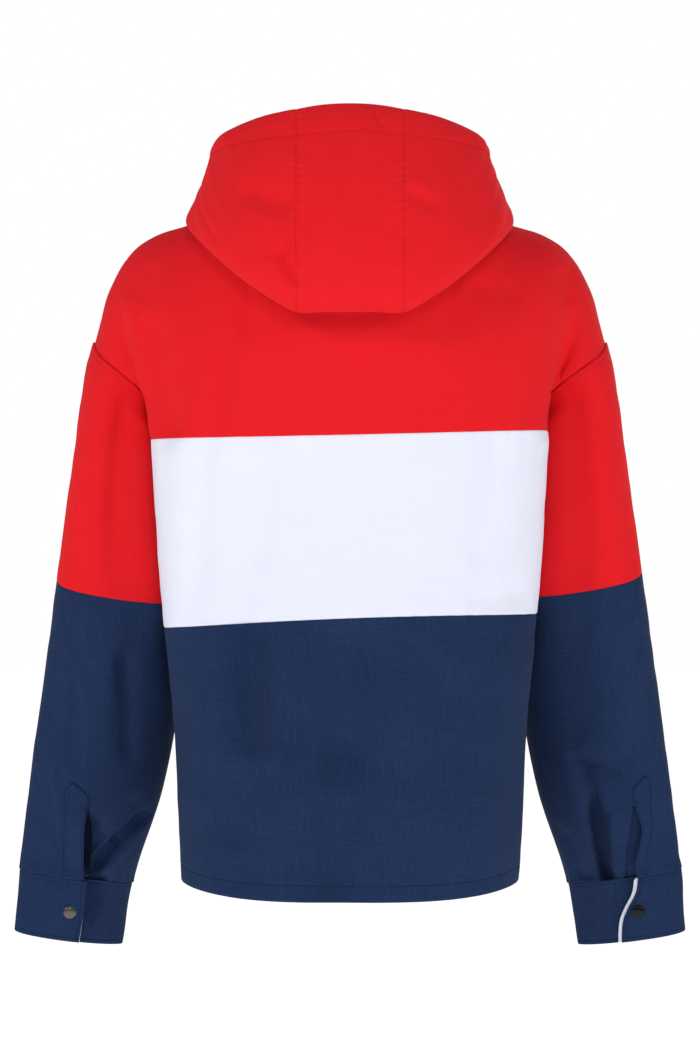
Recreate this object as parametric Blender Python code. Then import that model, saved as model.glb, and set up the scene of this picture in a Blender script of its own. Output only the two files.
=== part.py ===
"""Windbreaker jacket: cut and sewn panels in the hollow form that the jacket has when it is worn.

Up is +Z, the jacket's back faces -Y and its front +Y, and the wearer's right side is at +X.
The origin is the middle of the neck opening, level with the shoulder seams' neck ends.
Sizes are in millimetres and become metres when a mesh is made.
"""

import bpy
import numpy as np

MM = 0.001

# Cloth and seams
CLOTH = 1.6             # wall of a panel, the turned edges averaged in
FACING = 1.0            # wall of the thin cuff facing
SEAM_GAP = 0.3          # clear space between two pieces that are sewn together
ALIKE = 0.3             # least agreement of two panels that share a direction at their seam

# Working values of the surface functions
PROBE = 1e-4            # step in a surface's own coordinates when its slope is taken
ANY = (-np.inf, np.inf) # span of a coordinate without limits
TRIES = 241             # points tried along a course that is searched
SLEEVE_BACK = (0.03, 0.47)          # turns between which the back of a sleeve is searched

# Colours, linear, with roughness and metallic value
RED = ((0.74, 0.016, 0.024), 0.82)
WHITE = ((0.86, 0.87, 0.93), 0.85)
NAVY = ((0.018, 0.034, 0.088), 0.85)
GUNMETAL = ((0.12, 0.115, 0.11), 0.35, 1.0)

SIDES = ((1, "right"), (-1, "left"))

# Neck opening
NECK_HALF_WIDTH = 92
NECK_BACK = 72
NECK_FRONT = 78
NECK_BACK_RISE = 6
NECK_FRONT_DROP = 80

# Sleeve stations, used along the shoulder and the sleeve
NECK_END = 0.3          # where the shoulder seam starts at the neck
ARMHOLE = 1.0
CUFF_SEAM = 3.0
CUFF_HEM = 3.22
STATION_LENGTH = 285    # millimetres of lower sleeve to one station
COLOUR_SEAM = {1: 1.99, -1: 2.02}   # red above, navy below

# Seam heights: middle, rise towards +X over 1000 mm, bow at 200 mm from the middle and its power
YOKE_SEAM = (-235.3, 22, 1.6, 2)
BAND_SEAM = (-411.6, 37, -5.1, 2)
HEM = (-683, 0, 24, 3.6)

# Front opening: the wearer's left front lies over the right one
FRONT_LAP = 17          # how far each front reaches past the centre
LAP_RISE_START = 44     # where the upper front starts to rise over the lower one
LAP_RISE = 16           # width of that rise
LAP_LIFT = 2.2          # how far the upper front then stands off the lower one
FRONT_MARKS = (-FRONT_LAP, 0, FRONT_LAP, LAP_RISE_START - LAP_RISE, LAP_RISE_START)
FRONT_TURNS = (0.85, 1.08)          # turns of the body between which the front's edge is searched
FRONT_STATIONS = (-0.12, 0.2)       # the same by the yoke's stations

# Sleeve over the armhole seam
STEP_LIFT = 2.2         # the sleeve's edge stands proud of the yoke on the outside
STEP_LENGTH = 0.35      # stations over which that step fades
STEP_START = 0.20       # turn from the inner line at which the step starts
STEP_RISE = 0.15        # turns over which it rises to its full height
ARMPIT_SINK = 2.8       # in the armpit, the sleeve's edge lies this far inside the yoke's
SINK_END = 0.235        # turn from the inner line at which that ends
SINK_FADE = 0.06        # turns over which it fades

# Cuffs
CUFF_LAP = 0.12         # share of the cuff's way round that lies under the other end
CUFF_LEVEL = 0.02       # share that stays level between the lap and that rise
CUFF_RISE = 0.16        # share over which the upper end rises over the lower one
CUFF_LIFT = CLOTH + FACING + 2.3 * SEAM_GAP     # how far the upper end stands off
CUFF_SINK = 1.0         # the cuff is this much closer in than the gathered sleeve
CUFF_EASE = 0.002       # stations left free below the sleeve's lower edge

# Slit above each cuff, and the strip with a pointed top that covers it
SLIT_TOP = 2.745        # station of the slit's upper end
STRIP_POINT = {-1: 2.66, 1: 2.645}  # station of the strip's point
STRIP_SHOULDER = 0.04   # stations from the strip's point down to its shoulders
STRIP_LIFT = CLOTH + SEAM_GAP
SLIT_COVER = 4          # how far the strip's sewn part reaches past the slit's edge
STRIP_TOP = (1, 0.7, 0, 1)          # the strip's pointed top, from its free to its sewn edge
BINDING_WIDTH = 10
BINDING_DROP = (0, 2.5, 5)          # the binding slants inward under the strip
SLEEVE_GIRTH = 230      # way round the sleeve just above the cuff

# Snaps
SNAP_RADIUS = 6.5
SNAP_SEAT = 0.3         # clear space under a snap's cap
SNAP_PROFILE = ((1.0, 0.0), (1.0, 0.9), (0.86, 1.7), (0.6, 2.2), (0.3, 2.4))
SNAP_CROWN = 2.45       # height of the cap's middle
SNAP_SIDES = 20
FRONT_SNAPS = (-102, -212, -322, -432, -542, -652)      # heights down the front
CUFF_SNAP_STATION = 3.117
CUFF_SNAP = {-1: 282.2, 1: 289.7}   # distances from the jacket's middle

# Hood
HOOD_STRIP = 0.16       # half of the centre strip
HOOD_NECK_END = 0.93    # share of the neck seam that the hood covers
HOOD_ROOT_RISE = 0.3    # clear space where the hood bends away from the neck seam
CASING_START = 1.84     # the doubled edge starts here, and is a little fuller
CASING_PUFF = 1.8

# Folds of the sleeves
FOLD_REACH = 1.15       # share of a fold's length at which it has faded out
FOLD_START = 3          # its start fades over a third of its length
FOLD_FADE = 4           # its end over a quarter
FOLD_SEAM_FADE = 8      # millimetres above the cuff seam over which every fold ends
GIRTH_TO_WIDTH = 2.25   # way round a sleeve to its width

# Rows and columns of the panels' grids
YOKE_STATIONS = np.array([0, 0.1, 0.2, 0.3, 0.39, 0.47, 0.55, 0.62, 0.68, 0.74, 0.79, 0.84, 0.89, 0.94, 1])
FRONT_FIRST_STATION = 2 # first of the yoke's stations that lies beside the front opening
YOKE_ROWS = 10
BAND_ROWS = 5
LOWER_ROWS = 7
SLEEVE_COLUMNS = 16     # round from the strip to the slit
UPPER_SLEEVE_ROWS = 11
LOWER_SLEEVE_ROWS = 8   # above the strip
SLIT_ROWS = 8
CUFF_ROWS = 7
CUFF_COLUMNS = 19       # beyond the lap
LAP_COLUMNS = 5
FACING_COLUMNS = 3      # columns of the facing that lie under the lap
STRIP_COLUMNS = 7
HOOD_COLUMNS = 16
UNDER_PLY_ROWS = 7
UPPER_PLY_ROWS = 8
CASING_ROWS = 4


def table(columns, *rows):
    """Give each named column of a short table its own array."""
    return dict(zip(columns.split(), np.array(rows, float).T))


# The body below the yoke: rings by height
BODY = table(
    "at    wide   back  front  middle",
    (-700, 163.5, -137,  130,  -36),
    (-674, 165.5, -135,  128,  -36),
    (-600, 169.5, -132,  125,  -36),
    (-540, 172,   -128,  122,  -36),
    (-425, 183,   -121,  117,  -38),
    (-347, 189.5, -120,  114,  -40),
    (-276, 193.5, -122,  111,  -42),
    (-236, 196,   -123,  110,  -42),
    (-200, 198,   -123,  108,  -42),
)
BACK_SQUARENESS = 2.6
FRONT_SQUARENESS = 2.05

# Where each station of the yoke starts on the body's ring, as a share from its centre line
YOKE_FOOT = table(
    "at   back   front",
    (0.00, 0.000, 1.000),
    (0.15, 0.100, 0.905),
    (0.30, 0.190, 0.810),
    (0.55, 0.325, 0.700),
    (0.66, 0.377, 0.673),
    (0.74, 0.415, 0.655),
    (0.86, 0.490, 0.630),
    (1.00, 0.600, 0.600),
)

# Shoulder seam from the neck, then the outer line of the sleeve
OUTER = table(
    "at   x      y    z",
    (0.30, 92,    0,   0),
    (0.42, 125,   0,  -11),
    (0.55, 164,   0,  -23),
    (0.66, 194.5, 0,  -33),
    (0.74, 214.5, 1,  -46),
    (0.80, 227,   2,  -61),
    (0.86, 236,   4,  -77),
    (0.92, 244.5, 5,  -97),
    (0.96, 249.5, 6,  -117),
    (1.00, 255.5, 8,  -139),
    (1.15, 263,   10, -165),
    (1.30, 268,   11, -190),
    (1.50, 274.5, 12, -238),
    (1.75, 283.5, 13, -300),
    (2.00, 293.5, 15, -371),
    (2.33, 306,   19, -462),
    (2.66, 321.5, 25, -570),
    (3.00, 333.5, 30, -668),
    (3.22, 339.5, 32, -730),
)

# Underarm and the inner line of the sleeve
INNER = table(
    "at   x      y    z",
    (1.00, 182,   15, -236),
    (1.15, 183.5, 20, -252),
    (1.30, 182,   25, -272),
    (1.50, 179,   30, -305),
    (1.75, 175.5, 33, -350),
    (2.00, 174,   34, -398),
    (2.33, 172,   36, -485),
    (2.66, 190,   38, -588),
    (3.00, 219.5, 38, -678),
    (3.22, 230.5, 38, -748),
)

# How each station leaves its inner line (low) and its outer line (high), at the back
BACK_PULL = table(
    "at   low_x low_y low_z high_x high_y high_z",
    (0.00,  0,   -4,   80,    0,   -64,  -32),
    (0.15,  0,   -3,   80,    4,   -72,  -30),
    (0.30,  0,   -2,   82,    4,  -118,  -20),
    (0.55,  0,    2,   88,    0,   -95,  -18),
    (0.66,  2,    0,   86,    1,   -84,  -19),
    (0.74,  4,   -2,   80,    2,   -75,  -20),
    (0.86,  8,  -12,   70,    2,   -68,  -22),
    (1.00, 13,  -75,   58,   -2,   -70,  -28),
    (1.05, 26,  -74,   46,   -1,   -71,  -25),
    (1.15, 26,  -72,   25,    0,   -72,  -20),
    (1.30, 24,  -70,   12,    2,   -76,  -16),
    (1.50, 26,  -68,    6,    2,   -80,  -14),
    (2.00, 14,  -60,    1,    2,   -66,  -15),
    (2.33,  4,  -54,    2,    2,   -56,  -10),
    (2.66, -2,  -44,    2,    2,   -42,   -8),
    (3.00, -3,  -26,    2,    3,   -26,   -4),
    (3.22, -3,  -22,   -1,    3,   -22,   -4),
)

# The same at the front
FRONT_PULL = table(
    "at   low_x low_y low_z high_x high_y high_z",
    (0.00,  0,    1,   62,    0,    30,  -30),
    (0.15,  0,    1,   66,    3,    36,  -26),
    (0.30,  0,    0,   85,    3,    62,  -16),
    (0.55,  0,   -2,   85,    0,    60,  -18),
    (0.66,  2,   -2,   84,    1,    56,  -19),
    (0.74,  4,    1,   80,    2,    51,  -20),
    (0.86,  8,    8,   70,    2,    48,  -22),
    (1.00,  8,   60,   42,   -2,    55,  -30),
    (1.15, 10,   70,   20,    0,    60,  -18),
    (1.30,  8,   70,   10,    2,    64,  -12),
    (1.50,  5,   68,    5,    2,    68,   -8),
    (2.00,  0,   58,    2,    2,    58,   -6),
    (2.33,  0,   52,    2,    0,    52,   -4),
    (2.66, -2,   40,    2,    2,    38,   -4),
    (3.00, -2,   24,    2,    2,    24,   -4),
    (3.22, -2,   20,    2,    2,    20,   -4),
)

# Hood, from centre back (0) round to centre front (1)
HOOD_FOLD = table(
    "at   x    y     z",
    (0.00, 0,   -152, -120),
    (0.08, 26,  -152, -120),
    (0.16, 51,  -151, -120),
    (0.25, 80,  -143, -104),
    (0.33, 107, -128, -84),
    (0.41, 135, -100, -58),
    (0.50, 157, -55,  -33),
    (0.60, 158, -12,  -20),
    (0.72, 145, 34,   -20),
    (0.84, 112, 72,   -43),
    (0.93, 66,  92,   -65),
    (1.00, 24,  96,   -80),
)
HOOD_EDGE = table(
    "at   x    y    z",
    (0.00, 0,   -95, 87),
    (0.08, 26,  -94.5, 85.8),
    (0.16, 52,  -92, 82),
    (0.25, 84,  -82, 76.5),
    (0.33, 111, -62, 69),
    (0.41, 129.5, -40, 61),
    (0.50, 134.5, -15, 48),
    (0.60, 130, 20,  36),
    (0.72, 110, 60,  16),
    (0.84, 78,  86,  -10),
    (0.93, 46,  97,  -36),
    (1.00, 20,  99,  -56),
)
# Heading of each hood section in degrees, 0 to the back and 90 to the side, and how its two
# plies leave the neck (roll), reach the fold (tuck), leave it again (belly) and reach the edge (brow)
HOOD_PULL = table(
    "at   heading roll_out roll_up tuck_in tuck_up belly_out belly_up brow_out brow_down",
    (0.00, 0,    28,   38,  20,  4,  42,  12,  62,  52),
    (0.16, 0,    28,   38,  20,  4,  42,  12,  60,  50),
    (0.25, 16,   26,   36,  19,  4,  38,  12,  50,  44),
    (0.33, 28,   24,   34,  18,  5,  32,  10,  36,  36),
    (0.41, 40,   21,   32,  16,  5,  24,   9,  22,  30),
    (0.50, 52,   18,   30,  14,  6,  14,   8,   9,  22),
    (0.72, 100,  12,   22,  10,  6,  13,   8,   8,  18),
    (1.00, 160,   4,   10,   4,  4,   5,   5,   3,   8),
)

# Edges of each cuff opening by station, as distances from the jacket's middle: the strip's free
# and sewn edges, and the slit's other edge
OPENING = {
    -1: table(
        "at     free   sewn   slit",
        (2.66,  262.5, 286.5, 258.5),
        (2.70,  261.5, 286.5, 259.5),
        (2.745, 262.5, 287,   262),
        (2.80,  266,   287,   259.5),
        (2.90,  268,   287,   259),
        (2.97,  268.5, 287,   261.5),
        (3.00,  267,   286.5, 263),
    ),
    1: table(
        "at     free   sewn   slit",
        (2.645, 283.5, 300.5, 281.5),
        (2.685, 282.5, 300.5, 282),
        (2.745, 285,   301,   283),
        (2.83,  292,   302,   281),
        (2.90,  289,   299.5, 278),
        (2.96,  286,   296.5, 277.5),
        (3.00,  288.5, 298,   278),
    ),
}
# End of the upper layer of each cuff, and how far the facing shows past it
CUFF_END = {
    -1: table(
        "at     edge",
        (3.00,  266),
        (3.08,  268),
        (3.155, 270.7),
        (3.22,  273.5),
    ),
    1: table(
        "at     edge",
        (3.00,  289.5),
        (3.055, 287),
        (3.10,  280),
        (3.14,  275.3),
        (3.18,  274),
        (3.22,  274),
    ),
}
FACING_SHOWN = {-1: 1.0, 1: 3.0}

# Largest folds of the sleeves: from one station and turn to another, 0.25 being the middle of
# the back and 0.75 the middle of the front
FOLDS = table(
    "side  at0   turn0  at1   turn1  deep wide",
    (-1,   2.99, 0.205, 2.76, 0.060, 7,   8),
    (1,    2.70, 0.215, 2.99, 0.190, 8,   7),
    (1,    2.78, 0.085, 2.99, 0.120, 4,   7),
    (-1,   2.80, 0.800, 2.99, 0.770, 5,   8),
    (1,    2.76, 0.700, 2.99, 0.730, 6,   8),
    (-1,   2.30, 0.960, 2.52, 0.860, 4,   16),
    (1,    2.28, 0.970, 2.50, 0.880, 4,   16),
)


# Columns that are alike on both sides of the centre, so that they start level there
MIRRORED = "y z low_y low_z high_y high_z roll_out roll_up tuck_in tuck_up belly_out belly_up".split()
MIRRORED += ["brow_out", "brow_down"]


def read(rows, columns, at):
    """Read named columns of a table between its rows, along smooth curves."""
    at = np.asarray(at, float)
    known = rows["at"]
    row = np.clip(np.searchsorted(known, at) - 1, 0, len(known) - 2)
    step = known[row + 1] - known[row]
    part = (at - known[row]) / step
    values = []
    for column in columns.split():
        value = rows[column]
        slope = np.gradient(value, known)
        if known[0] == 0 and column in MIRRORED:
            slope[0] = 0
        values.append(
            value[row] * (1 + 2 * part) * (1 - part) ** 2
            + value[row + 1] * part ** 2 * (3 - 2 * part)
            + slope[row] * step * part * (1 - part) ** 2
            - slope[row + 1] * step * part ** 2 * (1 - part)
        )
    return values[0] if len(values) == 1 else np.stack(values, -1)


def ease(amount):
    """Go smoothly from 0 to 1 as the amount does."""
    amount = np.clip(amount, 0, 1)
    return amount * amount * (3 - 2 * amount)


def bezier(start, pull, push, end, along):
    """Point on a cubic curve from start to end."""
    t = np.asarray(along)[..., None]
    return (1 - t) ** 3 * start + 3 * t * (1 - t) ** 2 * pull + 3 * t * t * (1 - t) * push + t ** 3 * end


def unit(vectors):
    """Scale vectors to length 1."""
    return vectors / np.maximum(np.linalg.norm(vectors, axis=-1, keepdims=True), 1e-12)


def ring_point(angle, wide, back, front, middle):
    """Point on a body ring; the angle is 0 at centre back and pi at centre front."""
    rear = np.cos(angle) > 0
    power = 2 / np.where(rear, BACK_SQUARENESS, FRONT_SQUARENESS)
    x = np.sign(np.sin(angle)) * wide * np.abs(np.sin(angle)) ** power
    y = middle + (np.where(rear, back, front) - middle) * np.abs(np.cos(angle)) ** power
    return x, y


def measured_angles():
    """Angles round the chest ring, and the share of its half length at each of them."""
    angle = np.linspace(-1.2 * np.pi, 1.2 * np.pi, 4801)
    x, y = ring_point(angle, *read(BODY, "wide back front middle", -347))
    length = np.concatenate([[0], np.cumsum(np.hypot(np.diff(x), np.diff(y)))])
    start, end = np.interp([0, np.pi], angle, length)
    return angle, (length - start) / (end - start)


ANGLES, SHARES = measured_angles()


def body(turn, z):
    """Outer face below the yoke; the turn is 0 at centre back and 1 or -1 at centre front."""
    turn, z = np.broadcast_arrays(np.asarray(turn, float), np.asarray(z, float))
    sizes = np.moveaxis(read(BODY, "wide back front middle", z), -1, 0)
    x, y = ring_point(np.interp(turn, SHARES, ANGLES), *sizes)
    return np.stack([x, y, z], -1)


def seam_height(seam, x):
    """Height of a seam that runs round the body, a little out of level."""
    middle, rise, bow, power = seam
    return middle + rise * x / 1000 + bow * np.abs(x / 200) ** power


def body_seam(seam, turn):
    """Point of a seam on the body."""
    x = body(turn, seam[0])[..., 0]
    return body(turn, seam_height(seam, x))


def neck(turn):
    """Point of the neck seam; the turn is 0 at centre back and 1 at centre front."""
    angle = np.pi * np.asarray(turn, float)
    forward = -np.cos(angle)
    x = NECK_HALF_WIDTH * np.sin(angle)
    y = np.where(forward < 0, NECK_BACK, NECK_FRONT) * forward
    z = np.where(forward < 0, NECK_BACK_RISE * forward ** 2, -NECK_FRONT_DROP * np.abs(forward) ** 2.8)
    return np.stack([x, y, z], -1)


def skin(face, side, at, up):
    """Outer face of the yoke and the sleeve.

    at is a station: 0 at the centre, 1 at the armhole, 3 at the cuff seam. A small negative
    station lies past the centre, on the other side. up is 0 on the body or the inner line
    and 1 on the shoulder or the outer line.
    """
    at, up = np.broadcast_arrays(np.asarray(at, float), np.asarray(up, float))
    sign = np.where(at < 0, -side, side)
    at = np.abs(at)
    yoke = np.minimum(at, ARMHOLE)
    foot_turn = read(YOKE_FOOT, face, yoke)
    foot_x = sign * body(foot_turn, YOKE_SEAM[0])[..., 0]
    low = body(foot_turn, seam_height(YOKE_SEAM, foot_x))
    armpit = low - read(INNER, "x y z", ARMHOLE)
    fade = ease((1.5 - at) / 0.5)[..., None]
    low = np.where((at > ARMHOLE)[..., None], read(INNER, "x y z", at) + armpit * fade, low)
    half_turn = 0.5 * np.minimum(at / NECK_END, 1)
    high = np.where(
        (at < NECK_END)[..., None],
        neck(half_turn if face == "back" else 1 - half_turn),
        read(OUTER, "x y z", np.maximum(at, NECK_END)),
    )
    pull = BACK_PULL if face == "back" else FRONT_PULL
    point = bezier(
        low,
        low + read(pull, "low_x low_y low_z", at),
        high + read(pull, "high_x high_y high_z", at),
        high,
        up,
    )
    point[..., 0] *= sign
    return point


def outward(surface, u, v, hand, u_span=ANY, v_span=ANY):
    """Outward direction of a surface(u, v), with its slopes taken inside the given spans."""
    u_low, u_high = np.clip(u - PROBE, *u_span), np.clip(u + PROBE, *u_span)
    v_low, v_high = np.clip(v - PROBE, *v_span), np.clip(v + PROBE, *v_span)
    slope_u = surface(u_high, v) - surface(u_low, v)
    slope_v = surface(u, v_high) - surface(u, v_low)
    return hand * unit(np.cross(slope_u, slope_v))


def body_normal(turn, z):
    """Outward direction below the yoke."""
    return outward(body, turn, z, 1)


def skin_normal(face, side, at, up):
    """Outward direction of a yoke, not yet matched to its neighbours."""
    hand = side if face == "back" else -side
    return outward(lambda a, u: skin(face, side, a, u), at, up, hand, (-ARMHOLE, ARMHOLE), (0, 1))


def shared(own, other):
    """Common direction of two panels at their seam, where they do not fold back on each other."""
    alike = (own * other).sum(-1, keepdims=True) > ALIKE
    return np.where(alike, unit(own + other), own)


def yoke_normal(face, side, at, up):
    """Outward direction of a yoke, matched to its neighbours along its seams."""
    normal = skin_normal(face, side, at, up)
    foot_turn = np.sign(at) * side * read(YOKE_FOOT, face, np.abs(at))
    foot = body(foot_turn, YOKE_SEAM[0])
    on_body = body_normal(foot_turn, seam_height(YOKE_SEAM, foot[..., 0]))
    normal = np.where((up <= 0)[..., None], on_body, normal)
    other = "front" if face == "back" else "back"
    shoulder = (up >= 1) & (np.abs(at) >= NECK_END)
    normal = np.where(shoulder[..., None], shared(normal, skin_normal(other, side, at, up)), normal)
    turn = up / 2 if face == "back" else 1 - up / 2
    end = np.full(np.shape(at), ARMHOLE)
    near, far = sleeve_slope_normal(side, end, turn), sleeve_slope_normal(-side, end, turn)
    beyond = np.where((at > 0)[..., None], near, far)
    armhole = (np.abs(at) >= ARMHOLE) & (up > 0)
    return np.where(armhole[..., None], shared(normal, beyond), normal)


def fold_depth(side, at, turn, girth):
    """How deep the folds press the sleeve in at a point."""
    depth = np.zeros(np.shape(at))
    for fold_side, at0, turn0, at1, turn1, deep, wide in zip(*FOLDS.values()):
        if fold_side != side:
            continue
        run = np.array([(at1 - at0) * STATION_LENGTH, (turn1 - turn0) * girth.mean()])
        from_start = np.stack([(at - at0) * STATION_LENGTH, (turn - turn0) * girth], -1)
        share = np.clip(from_start @ run / (run @ run), 0, 1)
        aside = np.linalg.norm(from_start - share[..., None] * run, axis=-1)
        faded = ease(share * FOLD_START) * ease((FOLD_REACH - share) * FOLD_FADE)
        depth += deep * np.exp(-((aside / wide) ** 2)) * faded
    return depth * ease((CUFF_SEAM - at) * STATION_LENGTH / FOLD_SEAM_FADE)


def sleeve(side, at, turn):
    """Outer face of a sleeve; the turn runs from the inner line over the back to the outer line
    (0.5) and over the front to the inner line again (1)."""
    at, turn = np.broadcast_arrays(np.asarray(at, float), np.asarray(turn, float) % 1)
    rear = skin("back", side, at, np.minimum(2 * turn, 1))
    fore = skin("front", side, at, np.minimum(2 - 2 * turn, 1))
    point = np.where((turn <= 0.5)[..., None], rear, fore)
    inner, outer = skin("back", side, at, 0 * at), skin("back", side, at, 0 * at + 1)
    width = np.linalg.norm(outer - inner, axis=-1)
    inward = unit((inner + outer) / 2 - point)
    return point + inward * fold_depth(side, at, turn, GIRTH_TO_WIDTH * width)[..., None]


def sleeve_slope_normal(side, at, turn):
    """Outward direction of a sleeve, not yet matched to the yoke."""
    return outward(lambda t, a: sleeve(side, a, t), turn, at, -side, ANY, (ARMHOLE, CUFF_HEM))


def sleeve_normal(side, at, turn):
    """Outward direction of a sleeve, matched to the yoke along the armhole."""
    normal = sleeve_slope_normal(side, at, turn)
    turn = turn % 1
    armhole = np.full(np.shape(turn), ARMHOLE)
    rear = skin_normal("back", side, armhole, np.minimum(2 * turn, 1))
    fore = skin_normal("front", side, armhole, np.minimum(2 - 2 * turn, 1))
    yoke = np.where((turn <= 0.5)[..., None], rear, fore)
    return np.where((at <= ARMHOLE)[..., None], shared(normal, yoke), normal)


def hood_normal(side, at, along):
    """Outward direction of the hood."""
    return outward(lambda a, s: hood(side, a, s), at, along, side, (-1, 1), (0, 2))


def lap_rise(x):
    """Rise of the upper front over the lower one."""
    return LAP_LIFT * ease((x + LAP_RISE_START) / LAP_RISE)


def hood(side, at, along):
    """Outer face of the hood: the under ply from the neck (0) down to the fold (1), then the
    upper ply to the hood's edge (2)."""
    at, along = np.broadcast_arrays(np.asarray(at, float), np.asarray(along, float))
    sign = np.where(at < 0, -side, side)
    at = np.abs(at)
    neck_turn = at * HOOD_NECK_END
    root = neck(neck_turn) + np.array([0, 0, HOOD_ROOT_RISE])
    if side < 0:
        station = 2 * NECK_END * np.minimum(1 - neck_turn, 0.5)
        rise = skin_normal("front", 1, station, np.ones(np.shape(at)))
        root = root + rise * lap_rise(sign * root[..., 0])[..., None]
    fold = read(HOOD_FOLD, "x y z", at)
    edge = read(HOOD_EDGE, "x y z", at)
    heading = np.radians(read(HOOD_PULL, "heading", at))
    out = np.stack([np.sin(heading), -np.cos(heading), 0 * heading], -1)
    up = np.array([0.0, 0.0, 1.0])
    pull = {name: read(HOOD_PULL, name, at)[..., None] for name in HOOD_PULL if name != "at"}
    under = bezier(
        root,
        root + out * pull["roll_out"] + up * pull["roll_up"],
        fold - out * pull["tuck_in"] + up * pull["tuck_up"],
        fold,
        np.clip(along, 0, 1),
    )
    upper = bezier(
        fold,
        fold + out * pull["belly_out"] + up * pull["belly_up"],
        edge + out * pull["brow_out"] - up * pull["brow_down"],
        edge,
        np.clip(along - 1, 0, 1),
    )
    point = np.where((along <= 1)[..., None], under, upper)
    point[..., 0] *= sign
    return point


def solve(course, span, value):
    """Find where a steadily rising or falling course passes a value."""
    tries = np.linspace(*span, TRIES)
    passed = course(tries)
    order = np.argsort(passed)
    return float(np.interp(value, passed[order], tries[order]))


def turn_at(side, at, x):
    """Turn at which the back of a sleeve is x from the jacket's middle."""
    return solve(lambda turn: side * sleeve(side, at, turn)[..., 0], SLEEVE_BACK, x)


def material(name, color, roughness, metallic=0.0):
    """One Principled material."""
    made = bpy.data.materials.new(name)
    made.use_nodes = True
    shader = made.node_tree.nodes["Principled BSDF"]
    shader.inputs["Base Color"].default_value = (*color, 1)
    shader.inputs["Roughness"].default_value = roughness
    shader.inputs["Metallic"].default_value = metallic
    made.diffuse_color = (*color, 1)
    return made


def make_object(name, points, faces, look):
    """Turn points in millimetres and faces into one smooth-shaded object."""
    mesh = bpy.data.meshes.new(name)
    mesh.from_pydata((np.asarray(points) * MM).tolist(), [], faces)
    mesh.update()
    mesh.materials.append(material(name, *look))
    mesh.shade_smooth()
    mesh.set_sharp_from_angle(angle=np.radians(50))
    made = bpy.data.objects.new(name, mesh)
    bpy.context.scene.collection.objects.link(made)
    return made


def close_wall(name, outer, inner, look, ring=False, keep=None):
    """Make a closed wall from its outer and inner grids of points.

    ring joins the last row to the first one, and keep marks the cells that are cloth.
    """
    rows, columns = outer.shape[:2]
    number = np.arange(rows * columns).reshape(rows, columns)
    cells = []
    for i in range(rows if ring else rows - 1):
        for j in range(columns - 1):
            if keep is None or keep[i, j]:
                k = (i + 1) % rows
                a, b, c, d = number[i, j], number[k, j], number[k, j + 1], number[i, j + 1]
                cells += [(a, b, c), (a, c, d)]
    cells = [tuple(int(n) for n in cell) for cell in cells]
    edges = {(cell[n], cell[(n + 1) % 3]) for cell in cells for n in range(3)}
    under = rows * columns
    faces = cells + [(c + under, b + under, a + under) for a, b, c in cells]
    for a, b in sorted(edges):
        if (b, a) not in edges:
            faces += [(b, a, a + under), (b, a + under, b + under)]
    used = sorted({n for face in faces for n in face})
    place = {old: new for new, old in enumerate(used)}
    points = np.concatenate([outer.reshape(-1, 3), inner.reshape(-1, 3)])[used]
    return make_object(name, points, [tuple(place[n] for n in face) for face in faces], look)


def panel(name, point, normal, look, ring=False, keep=None, lift=0.0, thick=CLOTH):
    """Build one panel from a grid of points and outward directions, a hair inside its seams.

    lift moves points outward, and ring joins the last row of the grid to the first one.
    """
    point = point + normal * np.broadcast_to(lift, point.shape[:2])[..., None]
    hair = SEAM_GAP / 2
    inset = np.zeros_like(point)
    inset[:, 0] += hair * unit(point[:, 1] - point[:, 0])
    inset[:, -1] += hair * unit(point[:, -2] - point[:, -1])
    if not ring:
        inset[0] += hair * unit(point[1] - point[0])
        inset[-1] += hair * unit(point[-2] - point[-1])
    outer = point + inset
    inner = outer - normal * thick
    winding = np.cross(point[1:, :-1] - point[:-1, :-1], point[:-1, 1:] - point[:-1, :-1])
    if (winding * normal[:-1, :-1]).sum() < 0:
        outer, inner = outer[::-1], inner[::-1]
        if keep is not None:
            keep = np.roll(keep[::-1], -1, axis=0) if ring else keep[::-1]
    return close_wall(name, outer, inner, look, ring, keep)


def clear_scene():
    """Remove what the new file holds."""
    for item in list(bpy.data.objects):
        bpy.data.objects.remove(item, do_unlink=True)


def band_heights(turn, along, seam_low, seam_high):
    """Heights between two seams of the body; along is 0 on the lower and 1 on the upper."""
    low = body_seam(seam_low, turn)[..., 2]
    high = body_seam(seam_high, turn)[..., 2]
    return low + (high - low) * along


def front_columns(surface, side, span, along, rest):
    """Grid of a front panel: columns at set distances from the centre, then the rest."""
    columns = []
    for mark in FRONT_MARKS:
        columns.append([solve(lambda u: side * surface(u, v)[..., 0], span, mark) for v in along])
    columns = np.array(columns + [[value] * len(along) for value in rest])
    return columns, np.broadcast_to(along, columns.shape)


def front_lift(side, point):
    """The wearer's left front rises over the right one."""
    return lap_rise(point[..., 0]) if side < 0 else 0.0


def build_body():
    """Bands and lower panels, back and front."""
    rear = read(YOKE_FOOT, "back", YOKE_STATIONS)
    rear = np.concatenate([-rear[:0:-1], rear])
    fore = read(YOKE_FOOT, "front", YOKE_STATIONS[FRONT_FIRST_STATION:])
    parts = {
        "band": (BAND_SEAM, YOKE_SEAM, BAND_ROWS, WHITE),
        "lower": (HEM, BAND_SEAM, LOWER_ROWS, NAVY),
    }
    for part, (low, high, count, look) in parts.items():
        rows = np.linspace(0, 1, count)
        along, turn = np.meshgrid(rows, rear)
        z = band_heights(turn, along, low, high)
        panel(f"back_{part}", body(turn, z), body_normal(turn, z), look)
        for side, word in SIDES:
            surface = lambda u, v: body(u, band_heights(u, v, low, high))
            turn, along = front_columns(surface, side, side * np.array(FRONT_TURNS), rows, side * fore)
            z = band_heights(turn, along, low, high)
            point = body(turn, z)
            normal = body_normal(turn, z)
            panel(f"front_{part}_{word}", point, normal, look, lift=front_lift(side, point))


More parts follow.
